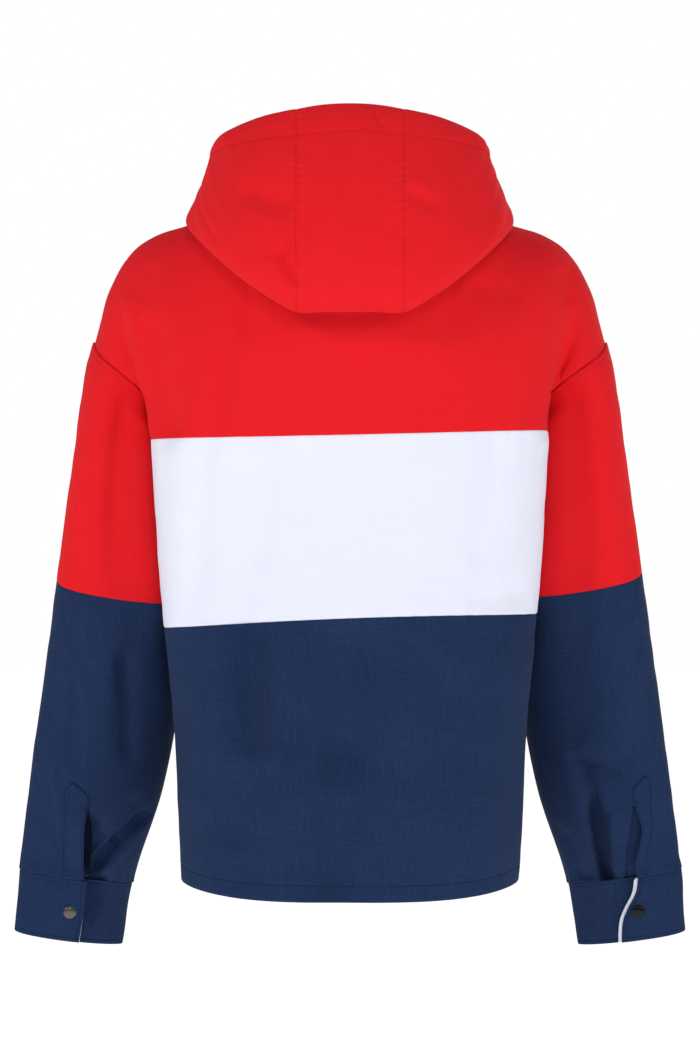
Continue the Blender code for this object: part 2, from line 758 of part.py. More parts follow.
def build_yoke():
    """Back yoke and the two front yokes."""
    rows = np.linspace(0, 1, YOKE_ROWS)
    both = np.concatenate([-YOKE_STATIONS[:0:-1], YOKE_STATIONS])
    up, at = np.meshgrid(rows, both)
    panel("back_yoke", skin("back", 1, at, up), yoke_normal("back", 1, at, up), RED)
    for side, word in SIDES:
        surface = lambda a, u: skin("front", side, a, u)
        at, up = front_columns(surface, side, FRONT_STATIONS, rows, YOKE_STATIONS[FRONT_FIRST_STATION:])
        point = skin("front", side, at, up)
        normal = yoke_normal("front", side, at, up)
        panel(f"front_yoke_{word}", point, normal, RED, lift=front_lift(side, point))


def sleeve_lift(at, turn):
    """Step of the sleeve over the armhole seam, and its clear space in the armpit."""
    from_inner = 0.5 - np.abs(turn % 1 - 0.5)
    step = STEP_LIFT * ease((from_inner - STEP_START) / STEP_RISE)
    sink = ARMPIT_SINK * ease((SINK_END - from_inner) / SINK_FADE)
    return (step - sink) * ease(1 - (at - ARMHOLE) / STEP_LENGTH)


def opening_turns(side, at):
    """Turns of the slit's edge and the sewn strip's three lines, then of the strip's free edge."""
    at = max(at, STRIP_POINT[side])
    free, sewn, slit = read(OPENING[side], "free sewn slit", at)
    marks = (slit, free + SLIT_COVER, (free + SLIT_COVER + sewn) / 2, sewn, free)
    return [turn_at(side, at, x) for x in marks]


def sleeve_grid(side, stations):
    """Grid of a sleeve, with columns along the edges of the slit and its strip."""
    columns = []
    for at in stations:
        marks = np.array(opening_turns(side, at)[:4])
        rest = np.linspace(marks[-1], marks[0] + 1, SLEEVE_COLUMNS + 1)[1:-1]
        columns.append(np.concatenate([marks, rest]))
    turn = np.array(columns).T
    return turn, np.broadcast_to(stations, turn.shape)


def build_sleeves():
    """Upper and lower sleeves, and the strip and the binding of each slit."""
    slit = np.linspace(SLIT_TOP, CUFF_SEAM, SLIT_ROWS)
    for side, word in SIDES:
        seam = COLOUR_SEAM[side]
        turn, at = sleeve_grid(side, np.linspace(ARMHOLE, seam, UPPER_SLEEVE_ROWS))
        point, normal = sleeve(side, at, turn), sleeve_normal(side, at, turn)
        panel(f"sleeve_upper_{word}", point, normal, RED, ring=True, lift=sleeve_lift(at, turn))
        top = STRIP_POINT[side]
        above = np.linspace(seam, top, LOWER_SLEEVE_ROWS)
        stations = np.concatenate([above, [top + STRIP_SHOULDER], slit])
        turn, at = sleeve_grid(side, stations)
        keep = np.ones((turn.shape[0], turn.shape[1] - 1), bool)
        keep[0, stations[:-1] >= SLIT_TOP] = False
        point, normal = sleeve(side, at, turn), sleeve_normal(side, at, turn)
        panel(f"sleeve_lower_{word}", point, normal, NAVY, ring=True, keep=keep)
        build_strip(side, word, slit)


def build_strip(side, word, slit):
    """The strip over a slit, and the narrow binding on the slit's other edge."""
    stations = [STRIP_POINT[side] + STRIP_SHOULDER, *slit]
    marks = np.array([opening_turns(side, at) for at in stations]).T
    turn = np.stack([marks[4], marks[1], marks[2], marks[3]])
    at = np.broadcast_to(stations, turn.shape).copy()
    at[:, 0] = STRIP_POINT[side] + STRIP_SHOULDER * np.array(STRIP_TOP)
    point, normal = sleeve(side, at, turn), sleeve_normal(side, at, turn)
    panel(f"placket_{word}", point, normal, NAVY, lift=STRIP_LIFT)
    rows = np.concatenate([[SLIT_TOP + 3 * CUFF_EASE], slit[1:-1]])
    edge = np.array([opening_turns(side, at)[0] for at in rows])
    width = BINDING_WIDTH / SLEEVE_GIRTH
    turn = np.stack([edge, edge + width / 2, edge + width])
    at = np.broadcast_to(rows, turn.shape)
    drop = np.array(BINDING_DROP)[:, None]
    point, normal = sleeve(side, at, turn), sleeve_normal(side, at, turn)
    panel(f"binding_{word}", point, normal, NAVY, lift=-drop)


def cuff_start(side, at):
    """Turn of the end of the cuff's upper layer."""
    return turn_at(side, at, float(read(CUFF_END[side], "edge", at)))


def cuff_lift(way):
    """How far the cuff stands off, by its way round from the end of its upper layer."""
    return CUFF_LIFT * ease(1 - (way - CUFF_LAP - CUFF_LEVEL) / CUFF_RISE) - CUFF_SINK


def build_cuffs():
    """Overlapped cuffs, the facing that shows at the upper end, and the snap."""
    stations = np.linspace(CUFF_SEAM + CUFF_EASE, CUFF_HEM, CUFF_ROWS)
    lap = np.linspace(0, CUFF_LAP, LAP_COLUMNS)
    way = np.concatenate([lap, np.linspace(CUFF_LAP, 1, CUFF_COLUMNS)[1:], 1 + lap[1:]])
    level = CUFF_LIFT - CUFF_SINK - CLOTH - SEAM_GAP
    for side, word in SIDES:
        start = np.array([cuff_start(side, at) for at in stations])
        turn = start + way[:, None]
        at = np.broadcast_to(stations, turn.shape)
        point, normal = sleeve(side, at, turn), sleeve_normal(side, at, turn)
        panel(f"cuff_{word}", point, normal, NAVY, lift=cuff_lift(way)[:, None])
        edges = np.concatenate([[-FACING_SHOWN[side] / SLEEVE_GIRTH], lap[:FACING_COLUMNS]])
        turn = start + edges[:, None]
        at = np.broadcast_to(stations, turn.shape)
        point, normal = sleeve(side, at, turn), sleeve_normal(side, at, turn)
        panel(f"cuff_facing_{word}", point, normal, WHITE, lift=level, thick=FACING)
        at = CUFF_SNAP_STATION
        turn = turn_at(side, at, CUFF_SNAP[side])
        height = float(cuff_lift(turn - cuff_start(side, at))) + SNAP_SEAT
        at, turn = np.array([at]), np.array([turn])
        snap(f"snap_cuff_{word}", sleeve(side, at, turn)[0], sleeve_normal(side, at, turn)[0], height)


def snap(name, point, normal, height):
    """Domed snap cap at a height over a point of the cloth."""
    seat = point + normal * height
    side = unit(np.cross(normal, (0.0, 0.0, 1.0)))
    top = np.cross(side, normal)
    angles = 2 * np.pi * np.arange(SNAP_SIDES) / SNAP_SIDES
    points = [seat]
    for share, rise in SNAP_PROFILE:
        for angle in angles:
            reach = share * SNAP_RADIUS * (np.cos(angle) * side + np.sin(angle) * top)
            points.append(seat + reach + rise * normal)
    points.append(seat + SNAP_CROWN * normal)
    faces = []
    last = 1 + (len(SNAP_PROFILE) - 1) * SNAP_SIDES
    for n in range(SNAP_SIDES):
        m = (n + 1) % SNAP_SIDES
        faces.append((0, 1 + n, 1 + m))
        for a in range(1, last, SNAP_SIDES):
            b = a + SNAP_SIDES
            faces.append((a + n, b + n, b + m, a + m))
        faces.append((last + n, len(points) - 1, last + m))
    make_object(name, np.array(points), faces, GUNMETAL)


def build_front_snaps():
    """Caps down the upper front."""
    front = lambda up: skin("front", -1, 0 * up, up)
    for number, z in enumerate(FRONT_SNAPS):
        if z > front(np.zeros(1))[0, 2]:
            at, up = np.zeros(1), np.array([solve(lambda u: front(u)[..., 2], (0, 1), z)])
            point, normal = skin("front", -1, at, up), skin_normal("front", -1, at, up)
        else:
            turn, z = np.array([-1.0]), np.array([z])
            point, normal = body(turn, z), body_normal(turn, z)
        snap(f"snap_front_{number + 1}", point[0], normal[0], LAP_LIFT + SNAP_SEAT)


def build_hood():
    """Centre strip and side panels."""
    fold = np.linspace(0, 1, UNDER_PLY_ROWS)
    upper = np.linspace(1, CASING_START, UPPER_PLY_ROWS)
    casing = np.linspace(CASING_START, 2, CASING_ROWS)
    rows = np.concatenate([fold[:-1], upper[:-1], casing])
    pieces = [("centre", 1, np.linspace(-HOOD_STRIP, HOOD_STRIP, STRIP_COLUMNS))]
    pieces += [(word, side, np.linspace(HOOD_STRIP, 1, HOOD_COLUMNS)) for side, word in SIDES]
    for word, side, columns in pieces:
        along, at = np.meshgrid(rows, columns)
        share = np.clip((along - CASING_START) / (2 - CASING_START), 0, 1)
        puff = CASING_PUFF * np.sin(np.pi * share)
        panel(f"hood_{word}", hood(side, at, along), hood_normal(side, at, along), RED, lift=puff)


def main():
    clear_scene()
    build_body()
    build_front_snaps()
    build_yoke()
    build_sleeves()
    build_cuffs()
    build_hood()


main()
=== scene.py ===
"""Looks of the windbreaker jacket: sewn shells with their creases, stitches, snaps and studio.

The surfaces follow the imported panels. Only the inner side of each lower sleeve falls a little
further to the front, and its cuff seam ends 8 mm lower there. Up is +Z, the jacket's back faces
-Y and the wearer's right side is at +X. Sizes are in millimetres until a mesh is made.
"""

import bpy
import numpy as np
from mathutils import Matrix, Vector


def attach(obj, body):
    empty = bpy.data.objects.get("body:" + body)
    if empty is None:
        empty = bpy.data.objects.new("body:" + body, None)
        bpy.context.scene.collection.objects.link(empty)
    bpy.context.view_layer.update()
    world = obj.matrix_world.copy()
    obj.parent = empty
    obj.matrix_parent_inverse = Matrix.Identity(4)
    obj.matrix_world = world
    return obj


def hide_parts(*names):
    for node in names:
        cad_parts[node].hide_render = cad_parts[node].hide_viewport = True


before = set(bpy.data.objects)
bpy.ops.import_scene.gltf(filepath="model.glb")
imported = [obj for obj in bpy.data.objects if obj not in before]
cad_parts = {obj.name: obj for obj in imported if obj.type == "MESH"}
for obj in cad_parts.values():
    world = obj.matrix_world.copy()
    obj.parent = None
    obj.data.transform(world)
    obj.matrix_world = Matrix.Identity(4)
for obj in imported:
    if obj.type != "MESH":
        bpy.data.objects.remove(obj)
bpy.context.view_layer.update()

MM = 0.001
TAU = 2 * np.pi
SIDES = ((1, "right"), (-1, "left"))

# Cloth and seams of the solids
CLOTH = 1.6
FACING = 1.0
SEAM_GAP = 0.3

# Working values of the surface functions
PROBE = 1e-4  # step in a surface's own coordinates when its slope is taken
ANY = (-np.inf, np.inf)  # span of a coordinate without limits
TRIES = 241  # points tried along a course that is searched
SLEEVE_BACK = (0.03, 0.47)  # turns between which the back of a sleeve is searched

# Neck opening
NECK_HALF_WIDTH = 92
NECK_BACK = 72
NECK_FRONT = 78
NECK_BACK_RISE = 6
NECK_FRONT_DROP = 80
NECK_POWER = 2.8

# Sleeve stations, used along the shoulder and the sleeve
NECK_END = 0.3  # where the shoulder seam starts at the neck
ARMHOLE = 1.0
CUFF_SEAM = 3.0
CUFF_HEM = 3.22
STATION_LENGTH = 285  # millimetres of lower sleeve to one station
COLOUR_SEAM = {1: 1.99, -1: 2.02}  # red above, navy below
OUTER_TURN = 0.5  # the outer line, by the turn round the sleeve from its inner line
BACK_TURN = 0.25  # and the middle of its back
ARMPIT_END = 1.5  # the sleeve starts on the yoke's armpit and leaves it down to this station
ARMPIT_FADE = 0.5

# Seam heights: middle, rise towards +X over 1000 mm, bow at 200 mm from the middle and its power
YOKE_SEAM = (-235.3, 22, 1.6, 2)
BAND_SEAM = (-411.6, 37, -5.1, 2)
HEM = (-683, 0, 24, 3.6)

# Front opening: the wearer's left front lies over the right one
FRONT_LAP = 17  # how far each front reaches past the centre
LAP_RISE_START = 44  # where the upper front starts to rise over the lower one
LAP_RISE = 16  # width of that rise
LAP_LIFT = 2.2  # how far the upper front then stands off the lower one
FRONT_TURNS = (0.85, 1.08)  # turns of the body between which the front's edge is searched
FRONT_STATIONS = (-0.12, 0.2)  # the same by the yoke's stations

# Sleeve over the armhole seam
STEP_LIFT = 2.2  # the sleeve's edge stands proud of the yoke on the outside
STEP_LENGTH = 0.35  # stations over which that step fades
STEP_START = 0.20  # turn from the inner line at which the step starts
STEP_RISE = 0.15  # turns over which it rises to its full height
ARMPIT_SINK = 2.8  # in the armpit, the sleeve's edge lies this far inside the yoke's
SINK_END = 0.235  # turn from the inner line at which that ends
SINK_FADE = 0.06  # turns over which it fades

# Cuffs
CUFF_LAP = 0.12  # share of the cuff's way round that lies under the other end
CUFF_LEVEL = 0.02  # share that stays level between the lap and the rise
CUFF_RISE = 0.16  # share over which the upper end rises over the lower one
CUFF_LIFT = CLOTH + FACING + 2.3 * SEAM_GAP  # how far the upper end stands off
CUFF_SINK = 1.0  # the cuff is this much closer in than the gathered sleeve
CUFF_EASE = 0.0008  # stations left free below the sleeve's lower edge

# Slit above each cuff, and the strip with a pointed top that covers it
SLIT_TOP = 2.745  # station of the slit's upper end
STRIP_POINT = {-1: 2.66, 1: 2.645}  # station of the strip's point
STRIP_SHOULDER = 0.04  # stations from the strip's point down to its shoulders
STRIP_LIFT = CLOTH + SEAM_GAP
STRIP_SPREAD = 22  # rough width of the strip, for its rows
SLIT_COVER = 4  # how far the strip's sewn part reaches past the slit's edge
BINDING_WIDTH = 10
SLEEVE_GIRTH = 230  # way round the sleeve just above the cuff

# Snaps
SNAP_SEAT = 0.3  # clear space under a snap's cap
SNAP_CROWN = 2.45  # height of the cap's middle
FRONT_SNAPS = (-102, -212, -322, -432, -542, -652)  # heights down the front
CUFF_SNAP_STATION = 3.117
CUFF_SNAP = {-1: 282.2, 1: 289.7}  # distances from the jacket's middle

# Hood
HOOD_STRIP = 0.16  # half of the centre strip
HOOD_NECK_END = 0.93  # share of the neck seam that the hood covers
HOOD_ROOT_RISE = -0.6  # the hood starts a little below the yokes' edge, so the seam is closed
CASING_START = 1.84  # the doubled edge starts here, and is a little fuller
CASING_PUFF = 1.8
HOOD_SOFTNESS = 1.8  # the hood's soft relief to that of the body
UNDER_FADE = 8  # the hood's relief fades in over the first eighth of the upper ply
EDGE_FADE = 12  # and its soft part fades out over the last twelfth

# Folds of the sleeves
FOLD_REACH = 1.15  # share of a fold's length at which it has faded out
FOLD_START = 3  # its start fades over a third of its length
FOLD_FADE = 4  # its end over a quarter
FOLD_SEAM_FADE = 8  # millimetres above the cuff seam over which every fold ends
GIRTH_TO_WIDTH = 2.25  # way round a sleeve to its width

# Below the elbow the inner side of a sleeve falls away to the front
INNER_FALL = {-1: 17, 1: 13}
FALL_REACH = 0.17  # turns from the inner line
FALL_START = 2.1  # station
FALL_FADE = 0.5


def table(text):
    """Read a short table: the names of its columns, then a line of numbers for each row."""
    names, *rows = text.strip().splitlines()
    return dict(zip(names.split(), np.array([row.split() for row in rows], float).T))


# The body below the yoke: rings by height
BODY = table("""
at wide back front middle
-700 163.5 -137 130 -36
-674 165.5 -135 128 -36
-600 169.5 -132 125 -36
-540 172 -128 122 -36
-425 183 -121 117 -38
-347 189.5 -120 114 -40
-276 193.5 -122 111 -42
-236 196 -123 110 -42
-200 198 -123 108 -42
""")
CHEST = -347  # height of the ring on which turns are measured
RING_STEPS = 4801  # points at which the chest ring is measured, a little over once round
RING_REACH = 1.2 * np.pi
BACK_SQUARENESS = 2.6
FRONT_SQUARENESS = 2.05

# Where each station of the yoke starts on the body's ring, as a share from its centre line
YOKE_FOOT = table("""
at back front
0 0 1
0.15 0.1 0.905
0.3 0.19 0.81
0.55 0.325 0.7
0.66 0.377 0.673
0.74 0.415 0.655
0.86 0.49 0.63
1 0.6 0.6
""")

# Shoulder seam from the neck, then the outer line of the sleeve
OUTER = table("""
at x y z
0.3 92 0 0
0.42 125 0 -11
0.55 164 0 -23
0.66 194.5 0 -33
0.74 214.5 1 -46
0.8 227 2 -61
0.86 236 4 -77
0.92 244.5 5 -97
0.96 249.5 6 -117
1 255.5 8 -139
1.15 263 10 -165
1.3 268 11 -190
1.5 274.5 12 -238
1.75 283.5 13 -300
2 293.5 15 -371
2.33 306 19 -462
2.66 321.5 25 -570
3 333.5 30 -668
3.22 339.5 32 -730
""")

# Underarm and the inner line of the sleeve
INNER = table("""
at x y z
1 182 15 -236
1.15 183.5 20 -252
1.3 182 25 -272
1.5 179 30 -305
1.75 175.5 33 -350
2 174 34 -398
2.33 172 36 -485
2.66 190 38 -588
3 221 38 -686
3.22 230.5 38 -748
""")

# How each station leaves its inner line (low) and its outer line (high), at the back
BACK_PULL = table("""
at low_x low_y low_z high_x high_y high_z
0 0 -4 80 0 -64 -32
0.15 0 -3 80 4 -72 -30
0.3 0 -2 82 4 -118 -20
0.55 0 2 88 0 -95 -18
0.66 2 0 86 1 -84 -19
0.74 4 -2 80 2 -75 -20
0.86 8 -12 70 2 -68 -22
1 13 -75 58 -2 -70 -28
1.05 26 -74 46 -1 -71 -25
1.15 26 -72 25 0 -72 -20
1.3 24 -70 12 2 -76 -16
1.5 26 -68 6 2 -80 -14
2 14 -60 1 2 -66 -15
2.33 4 -54 2 2 -56 -10
2.66 -2 -44 2 2 -42 -8
3 -3 -26 2 3 -26 -4
3.22 -3 -22 -1 3 -22 -4
""")

# The same at the front
FRONT_PULL = table("""
at low_x low_y low_z high_x high_y high_z
0 0 1 62 0 30 -30
0.15 0 1 66 3 36 -26
0.3 0 0 85 3 62 -16
0.55 0 -2 85 0 60 -18
0.66 2 -2 84 1 56 -19
0.74 4 1 80 2 51 -20
0.86 8 8 70 2 48 -22
1 8 60 42 -2 55 -30
1.15 10 70 20 0 60 -18
1.3 8 70 10 2 64 -12
1.5 5 68 5 2 68 -8
2 0 58 2 2 58 -6
2.33 0 52 2 0 52 -4
2.66 -2 40 2 2 38 -4
3 -2 24 2 2 24 -4
3.22 -2 20 2 2 20 -4
""")

# Hood, from centre back (0) round to centre front (1)
HOOD_FOLD = table("""
at x y z
0 0 -152 -120
0.08 26 -152 -120
0.16 51 -151 -120
0.25 80 -143 -104
0.33 107 -128 -84
0.41 135 -100 -58
0.5 157 -55 -33
0.6 158 -12 -20
0.72 145 34 -20
0.84 112 72 -43
0.93 66 92 -65
1 24 96 -80
""")
HOOD_EDGE = table("""
at x y z
0 0 -95 87
0.08 26 -94.5 85.8
0.16 52 -92 82
0.25 84 -82 76.5
0.33 111 -62 69
0.41 129.5 -40 61
0.5 134.5 -15 48
0.6 130 20 36
0.72 110 60 16
0.84 78 86 -10
0.93 46 97 -36
1 20 99 -56
""")
# Heading of each hood section in degrees, 0 to the back and 90 to the side, and how its two
# plies leave the neck (roll), reach the fold (tuck), leave it again (belly) and reach the edge (brow)
HOOD_PULL = table("""
at heading roll_out roll_up tuck_in tuck_up belly_out belly_up brow_out brow_down
0 0 28 38 20 4 42 12 62 52
0.16 0 28 38 20 4 42 12 60 50
0.25 16 26 36 19 4 38 12 50 44
0.33 28 24 34 18 5 32 10 36 36
0.41 40 21 32 16 5 24 9 22 30
0.5 52 18 30 14 6 14 8 9 22
0.72 100 12 22 10 6 13 8 8 18
1 160 4 10 4 4 5 5 3 8
""")

# Edges of each cuff opening by station, as distances from the jacket's middle: the strip's free
# and sewn edges, and the slit's other edge
OPENING = {
    -1: table("""
at free sewn slit
2.66 262.5 286.5 258.5
2.7 261.5 286.5 259.5
2.745 262.5 287 262
2.8 266 287 259.5
2.9 268 287 259
2.97 268.5 287 261.5
3 267 286.5 263
"""),
    1: table("""
at free sewn slit
2.645 283.5 300.5 281.5
2.685 282.5 300.5 282
2.745 285 301 283
2.83 292 302 281
2.9 289 299.5 278
2.96 286 296.5 277.5
3 288.5 298 278
"""),
}
# End of the upper layer of each cuff, and how far the facing shows past it
CUFF_END = {
    -1: table("""
at edge
3 266
3.08 268
3.155 270.7
3.22 273.5
"""),
    1: table("""
at edge
3 289.5
3.055 287
3.1 280
3.14 275.3
3.18 274
3.22 274
"""),
}
FACING_SHOWN = {-1: 0.5, 1: 2.5}
FACING_TOP = {-1: 3.1, 1: 2.99}  # station from which it shows

# Largest folds of the sleeves: from one station and turn to another, 0.25 being the middle of
# the back and 0.75 the middle of the front
FOLDS = table("""
side at0 turn0 at1 turn1 deep wide
-1 2.99 0.205 2.76 0.06 7 8
1 2.7 0.215 2.99 0.19 8 7
1 2.78 0.085 2.99 0.12 4 7
-1 2.8 0.8 2.99 0.77 5 8
1 2.76 0.7 2.99 0.73 6 8
-1 2.3 0.96 2.52 0.86 4 16
1 2.28 0.97 2.5 0.88 4 16
""")
SKEWED = ("back", "front", "x", "low_x", "high_x", "heading")  # the others start level at 0


def read(rows, columns, at):
    """Read named columns of a table between its rows, along smooth curves."""
    at = np.asarray(at, float)
    known = rows["at"]
    row = np.clip(np.searchsorted(known, at) - 1, 0, len(known) - 2)
    step = known[row + 1] - known[row]
    part = (at - known[row]) / step
    values = []
    for column in columns.split():
        value = rows[column]
        slope = np.gradient(value, known)
        if known[0] == 0 and column not in SKEWED:
            slope[0] = 0
        values.append(
            value[row] * (1 + 2 * part) * (1 - part) ** 2
            + value[row + 1] * part ** 2 * (3 - 2 * part)
            + slope[row] * step * part * (1 - part) ** 2
            - slope[row + 1] * step * part ** 2 * (1 - part)
        )
    return values[0] if len(values) == 1 else np.stack(values, -1)


def ease(amount):
    """Go smoothly from 0 to 1 as the amount does."""
    amount = np.clip(amount, 0, 1)
    return amount * amount * (3 - 2 * amount)


def bezier(start, pull, push, end, along):
    """Point on a cubic curve from start to end."""
    t = np.asarray(along)[..., None]
    return (1 - t) ** 3 * start + 3 * t * (1 - t) ** 2 * pull + 3 * t * t * (1 - t) * push + t ** 3 * end


def unit(vectors):
    """Scale vectors to length 1."""
    return vectors / np.maximum(np.linalg.norm(vectors, axis=-1, keepdims=True), 1e-12)


def ring_point(angle, wide, back, front, middle):
    """Point on a body ring; the angle is 0 at centre back and pi at centre front."""
    rear = np.cos(angle) > 0
    power = 2 / np.where(rear, BACK_SQUARENESS, FRONT_SQUARENESS)
    x = np.sign(np.sin(angle)) * wide * np.abs(np.sin(angle)) ** power
    y = middle + (np.where(rear, back, front) - middle) * np.abs(np.cos(angle)) ** power
    return x, y


def measured_angles():
    """Angles round the chest ring, and the share of its half length at each of them."""
    angle = np.linspace(-RING_REACH, RING_REACH, RING_STEPS)
    x, y = ring_point(angle, *read(BODY, "wide back front middle", CHEST))
    length = np.concatenate([[0], np.cumsum(np.hypot(np.diff(x), np.diff(y)))])
    start, end = np.interp([0, np.pi], angle, length)
    return angle, (length - start) / (end - start)


ANGLES, SHARES = measured_angles()


def body(turn, z):
    """Outer face below the yoke; the turn is 0 at centre back and 1 or -1 at centre front."""
    turn, z = np.broadcast_arrays(np.asarray(turn, float), np.asarray(z, float))
    sizes = np.moveaxis(read(BODY, "wide back front middle", z), -1, 0)
    x, y = ring_point(np.interp(turn, SHARES, ANGLES), *sizes)
    return np.stack([x, y, z], -1)


def seam_height(seam, x):
    """Height of a seam that runs round the body, a little out of level."""
    middle, rise, bow, power = seam
    return middle + rise * x / 1000 + bow * np.abs(x / 200) ** power


def neck(turn):
    """Point of the neck seam; the turn is 0 at centre back and 1 at centre front."""
    angle = np.pi * np.asarray(turn, float)
    forward = -np.cos(angle)
    x = NECK_HALF_WIDTH * np.sin(angle)
    y = np.where(forward < 0, NECK_BACK, NECK_FRONT) * forward
    drop = -NECK_FRONT_DROP * np.abs(forward) ** NECK_POWER
    return np.stack([x, y, np.where(forward < 0, NECK_BACK_RISE * forward ** 2, drop)], -1)


def skin(face, side, at, up):
    """Outer face of the yoke and the sleeve.

    at is a station: 0 at the centre, 1 at the armhole, 3 at the cuff seam. A small negative
    station lies past the centre, on the other side. up is 0 on the body or the inner line
    and 1 on the shoulder or the outer line.
    """
    at, up = np.broadcast_arrays(np.asarray(at, float), np.asarray(up, float))
    sign = np.where(at < 0, -side, side)
    at = np.abs(at)
    foot_turn = read(YOKE_FOOT, face, np.minimum(at, ARMHOLE))
    foot_x = sign * body(foot_turn, YOKE_SEAM[0])[..., 0]
    low = body(foot_turn, seam_height(YOKE_SEAM, foot_x))
    armpit = low - read(INNER, "x y z", ARMHOLE)
    fade = ease((ARMPIT_END - at) / ARMPIT_FADE)[..., None]
    low = np.where((at > ARMHOLE)[..., None], read(INNER, "x y z", at) + armpit * fade, low)
    half_turn = 0.5 * np.minimum(at / NECK_END, 1)
    high = np.where(
        (at < NECK_END)[..., None],
        neck(half_turn if face == "back" else 1 - half_turn),
        read(OUTER, "x y z", np.maximum(at, NECK_END)),
    )
    pull = BACK_PULL if face == "back" else FRONT_PULL
    leave = low + read(pull, "low_x low_y low_z", at)
    reach = high + read(pull, "high_x high_y high_z", at)
    point = bezier(low, leave, reach, high, up)
    point[..., 0] *= sign
    return point


def outward(surface, u, v, hand, u_span=ANY, v_span=ANY):
    """Outward direction of a surface(u, v), with its slopes taken inside the given spans."""
    u_low, u_high = np.clip(u - PROBE, *u_span), np.clip(u + PROBE, *u_span)
    v_low, v_high = np.clip(v - PROBE, *v_span), np.clip(v + PROBE, *v_span)
    slope_u = surface(u_high, v) - surface(u_low, v)
    slope_v = surface(u, v_high) - surface(u, v_low)
    return hand * unit(np.cross(slope_u, slope_v))


def front_normal(side, at, up):
    """Outward direction of a front yoke."""
    return outward(lambda a, u: skin("front", side, a, u), at, up, -side, (-ARMHOLE, ARMHOLE), (0, 1))


def line_press(from_start, run, wide):
    """How far a straight crease presses each point in, from 0 to 1, and at which share of the
    crease's run the point stands."""
    share = from_start @ run / (run @ run)
    aside = np.linalg.norm(from_start - np.clip(share, 0, 1)[..., None] * run, axis=-1)
    return np.exp(-((aside / wide) ** 2)), share


def fold_depth(side, at, turn, girth):
    """How deep the folds press the sleeve in at a point."""
    depth = np.zeros(np.shape(at))
    for fold_side, at0, turn0, at1, turn1, deep, wide in zip(*FOLDS.values()):
        if fold_side != side:
            continue
        run = np.array([(at1 - at0) * STATION_LENGTH, (turn1 - turn0) * girth.mean()])
        from_start = np.stack([(at - at0) * STATION_LENGTH, (turn - turn0) * girth], -1)
        press, share = line_press(from_start, run, wide)
        faded = ease(share * FOLD_START) * ease((FOLD_REACH - np.minimum(share, 1)) * FOLD_FADE)
        depth += deep * press * faded
    return depth * ease((CUFF_SEAM - at) * STATION_LENGTH / FOLD_SEAM_FADE)


def sleeve(side, at, turn):
    """Outer face of a sleeve; the turn runs from the inner line over the back to the outer line
    (0.5) and over the front to the inner line again (1)."""
    at, turn = np.broadcast_arrays(np.asarray(at, float), np.asarray(turn, float) % 1)
    rear = skin("back", side, at, np.minimum(2 * turn, 1))
    fore = skin("front", side, at, np.minimum(2 - 2 * turn, 1))
    point = np.where((turn <= 0.5)[..., None], rear, fore)
    inner, outer = skin("back", side, at, 0 * at), skin("back", side, at, 0 * at + 1)
    width = np.linalg.norm(outer - inner, axis=-1)
    inward = unit((inner + outer) / 2 - point)
    point = point + inward * fold_depth(side, at, turn, GIRTH_TO_WIDTH * width)[..., None]
    from_inner = np.minimum(turn, 1 - turn)
    fall = INNER_FALL[side] * np.exp(-((from_inner / FALL_REACH) ** 2))
    point[..., 1] += fall * ease((at - FALL_START) / FALL_FADE)
    return point


def lap_rise(x):
    """Rise of the upper front over the lower one."""
    return LAP_LIFT * ease((x + LAP_RISE_START) / LAP_RISE)


def hood(side, at, along):
    """Outer face of the hood: the under ply from the neck (0) down to the fold (1), then the
    upper ply to the hood's edge (2)."""
    at, along = np.broadcast_arrays(np.asarray(at, float), np.asarray(along, float))
    sign = np.where(at < 0, -side, side)
    at = np.abs(at)
    neck_turn = at * HOOD_NECK_END
    root = neck(neck_turn) + np.array([0, 0, HOOD_ROOT_RISE])
    if side < 0:
        station = 2 * NECK_END * np.minimum(1 - neck_turn, 0.5)
        rise = front_normal(1, station, np.ones(np.shape(at)))
        root = root + rise * lap_rise(sign * root[..., 0])[..., None]
    fold = read(HOOD_FOLD, "x y z", at)
    edge = read(HOOD_EDGE, "x y z", at)
    heading = np.radians(read(HOOD_PULL, "heading", at))
    out = np.stack([np.sin(heading), -np.cos(heading), 0 * heading], -1)
    up = np.array([0.0, 0.0, 1.0])
    pull = {name: read(HOOD_PULL, name, at)[..., None] for name in HOOD_PULL if name != "at"}
    roll = root + out * pull["roll_out"] + up * pull["roll_up"]
    tuck = fold - out * pull["tuck_in"] + up * pull["tuck_up"]
    belly = fold + out * pull["belly_out"] + up * pull["belly_up"]
    brow = edge + out * pull["brow_out"] - up * pull["brow_down"]
    under = bezier(root, roll, tuck, fold, np.clip(along, 0, 1))
    upper = bezier(fold, belly, brow, edge, np.clip(along - 1, 0, 1))
    point = np.where((along <= 1)[..., None], under, upper)
    point[..., 0] *= sign
    return point


def solve(course, span, value):
    """Find where a steadily rising or falling course passes a value."""
    tries = np.linspace(*span, TRIES)
    passed = course(tries)
    order = np.argsort(passed)
    return float(np.interp(value, passed[order], tries[order]))


def turn_at(side, at, x):
    """Turn at which the back of a sleeve is x from the jacket's middle."""
    return solve(lambda turn: side * sleeve(side, at, turn)[..., 0], SLEEVE_BACK, x)


def band_heights(turn, along, seam_low, seam_high):
    """Heights between two seams of the body; along is 0 on the lower and 1 on the upper."""
    low, high = [seam_height(seam, body(turn, seam[0])[..., 0]) for seam in (seam_low, seam_high)]
    return low + (high - low) * along


def sleeve_lift(at, turn):
    """Step of the sleeve over the armhole seam, and its clear space in the armpit."""
    from_inner = 0.5 - np.abs(turn % 1 - 0.5)
    step = STEP_LIFT * ease((from_inner - STEP_START) / STEP_RISE)
    sink = ARMPIT_SINK * ease((SINK_END - from_inner) / SINK_FADE)
    return (step - sink) * ease(1 - (at - ARMHOLE) / STEP_LENGTH)


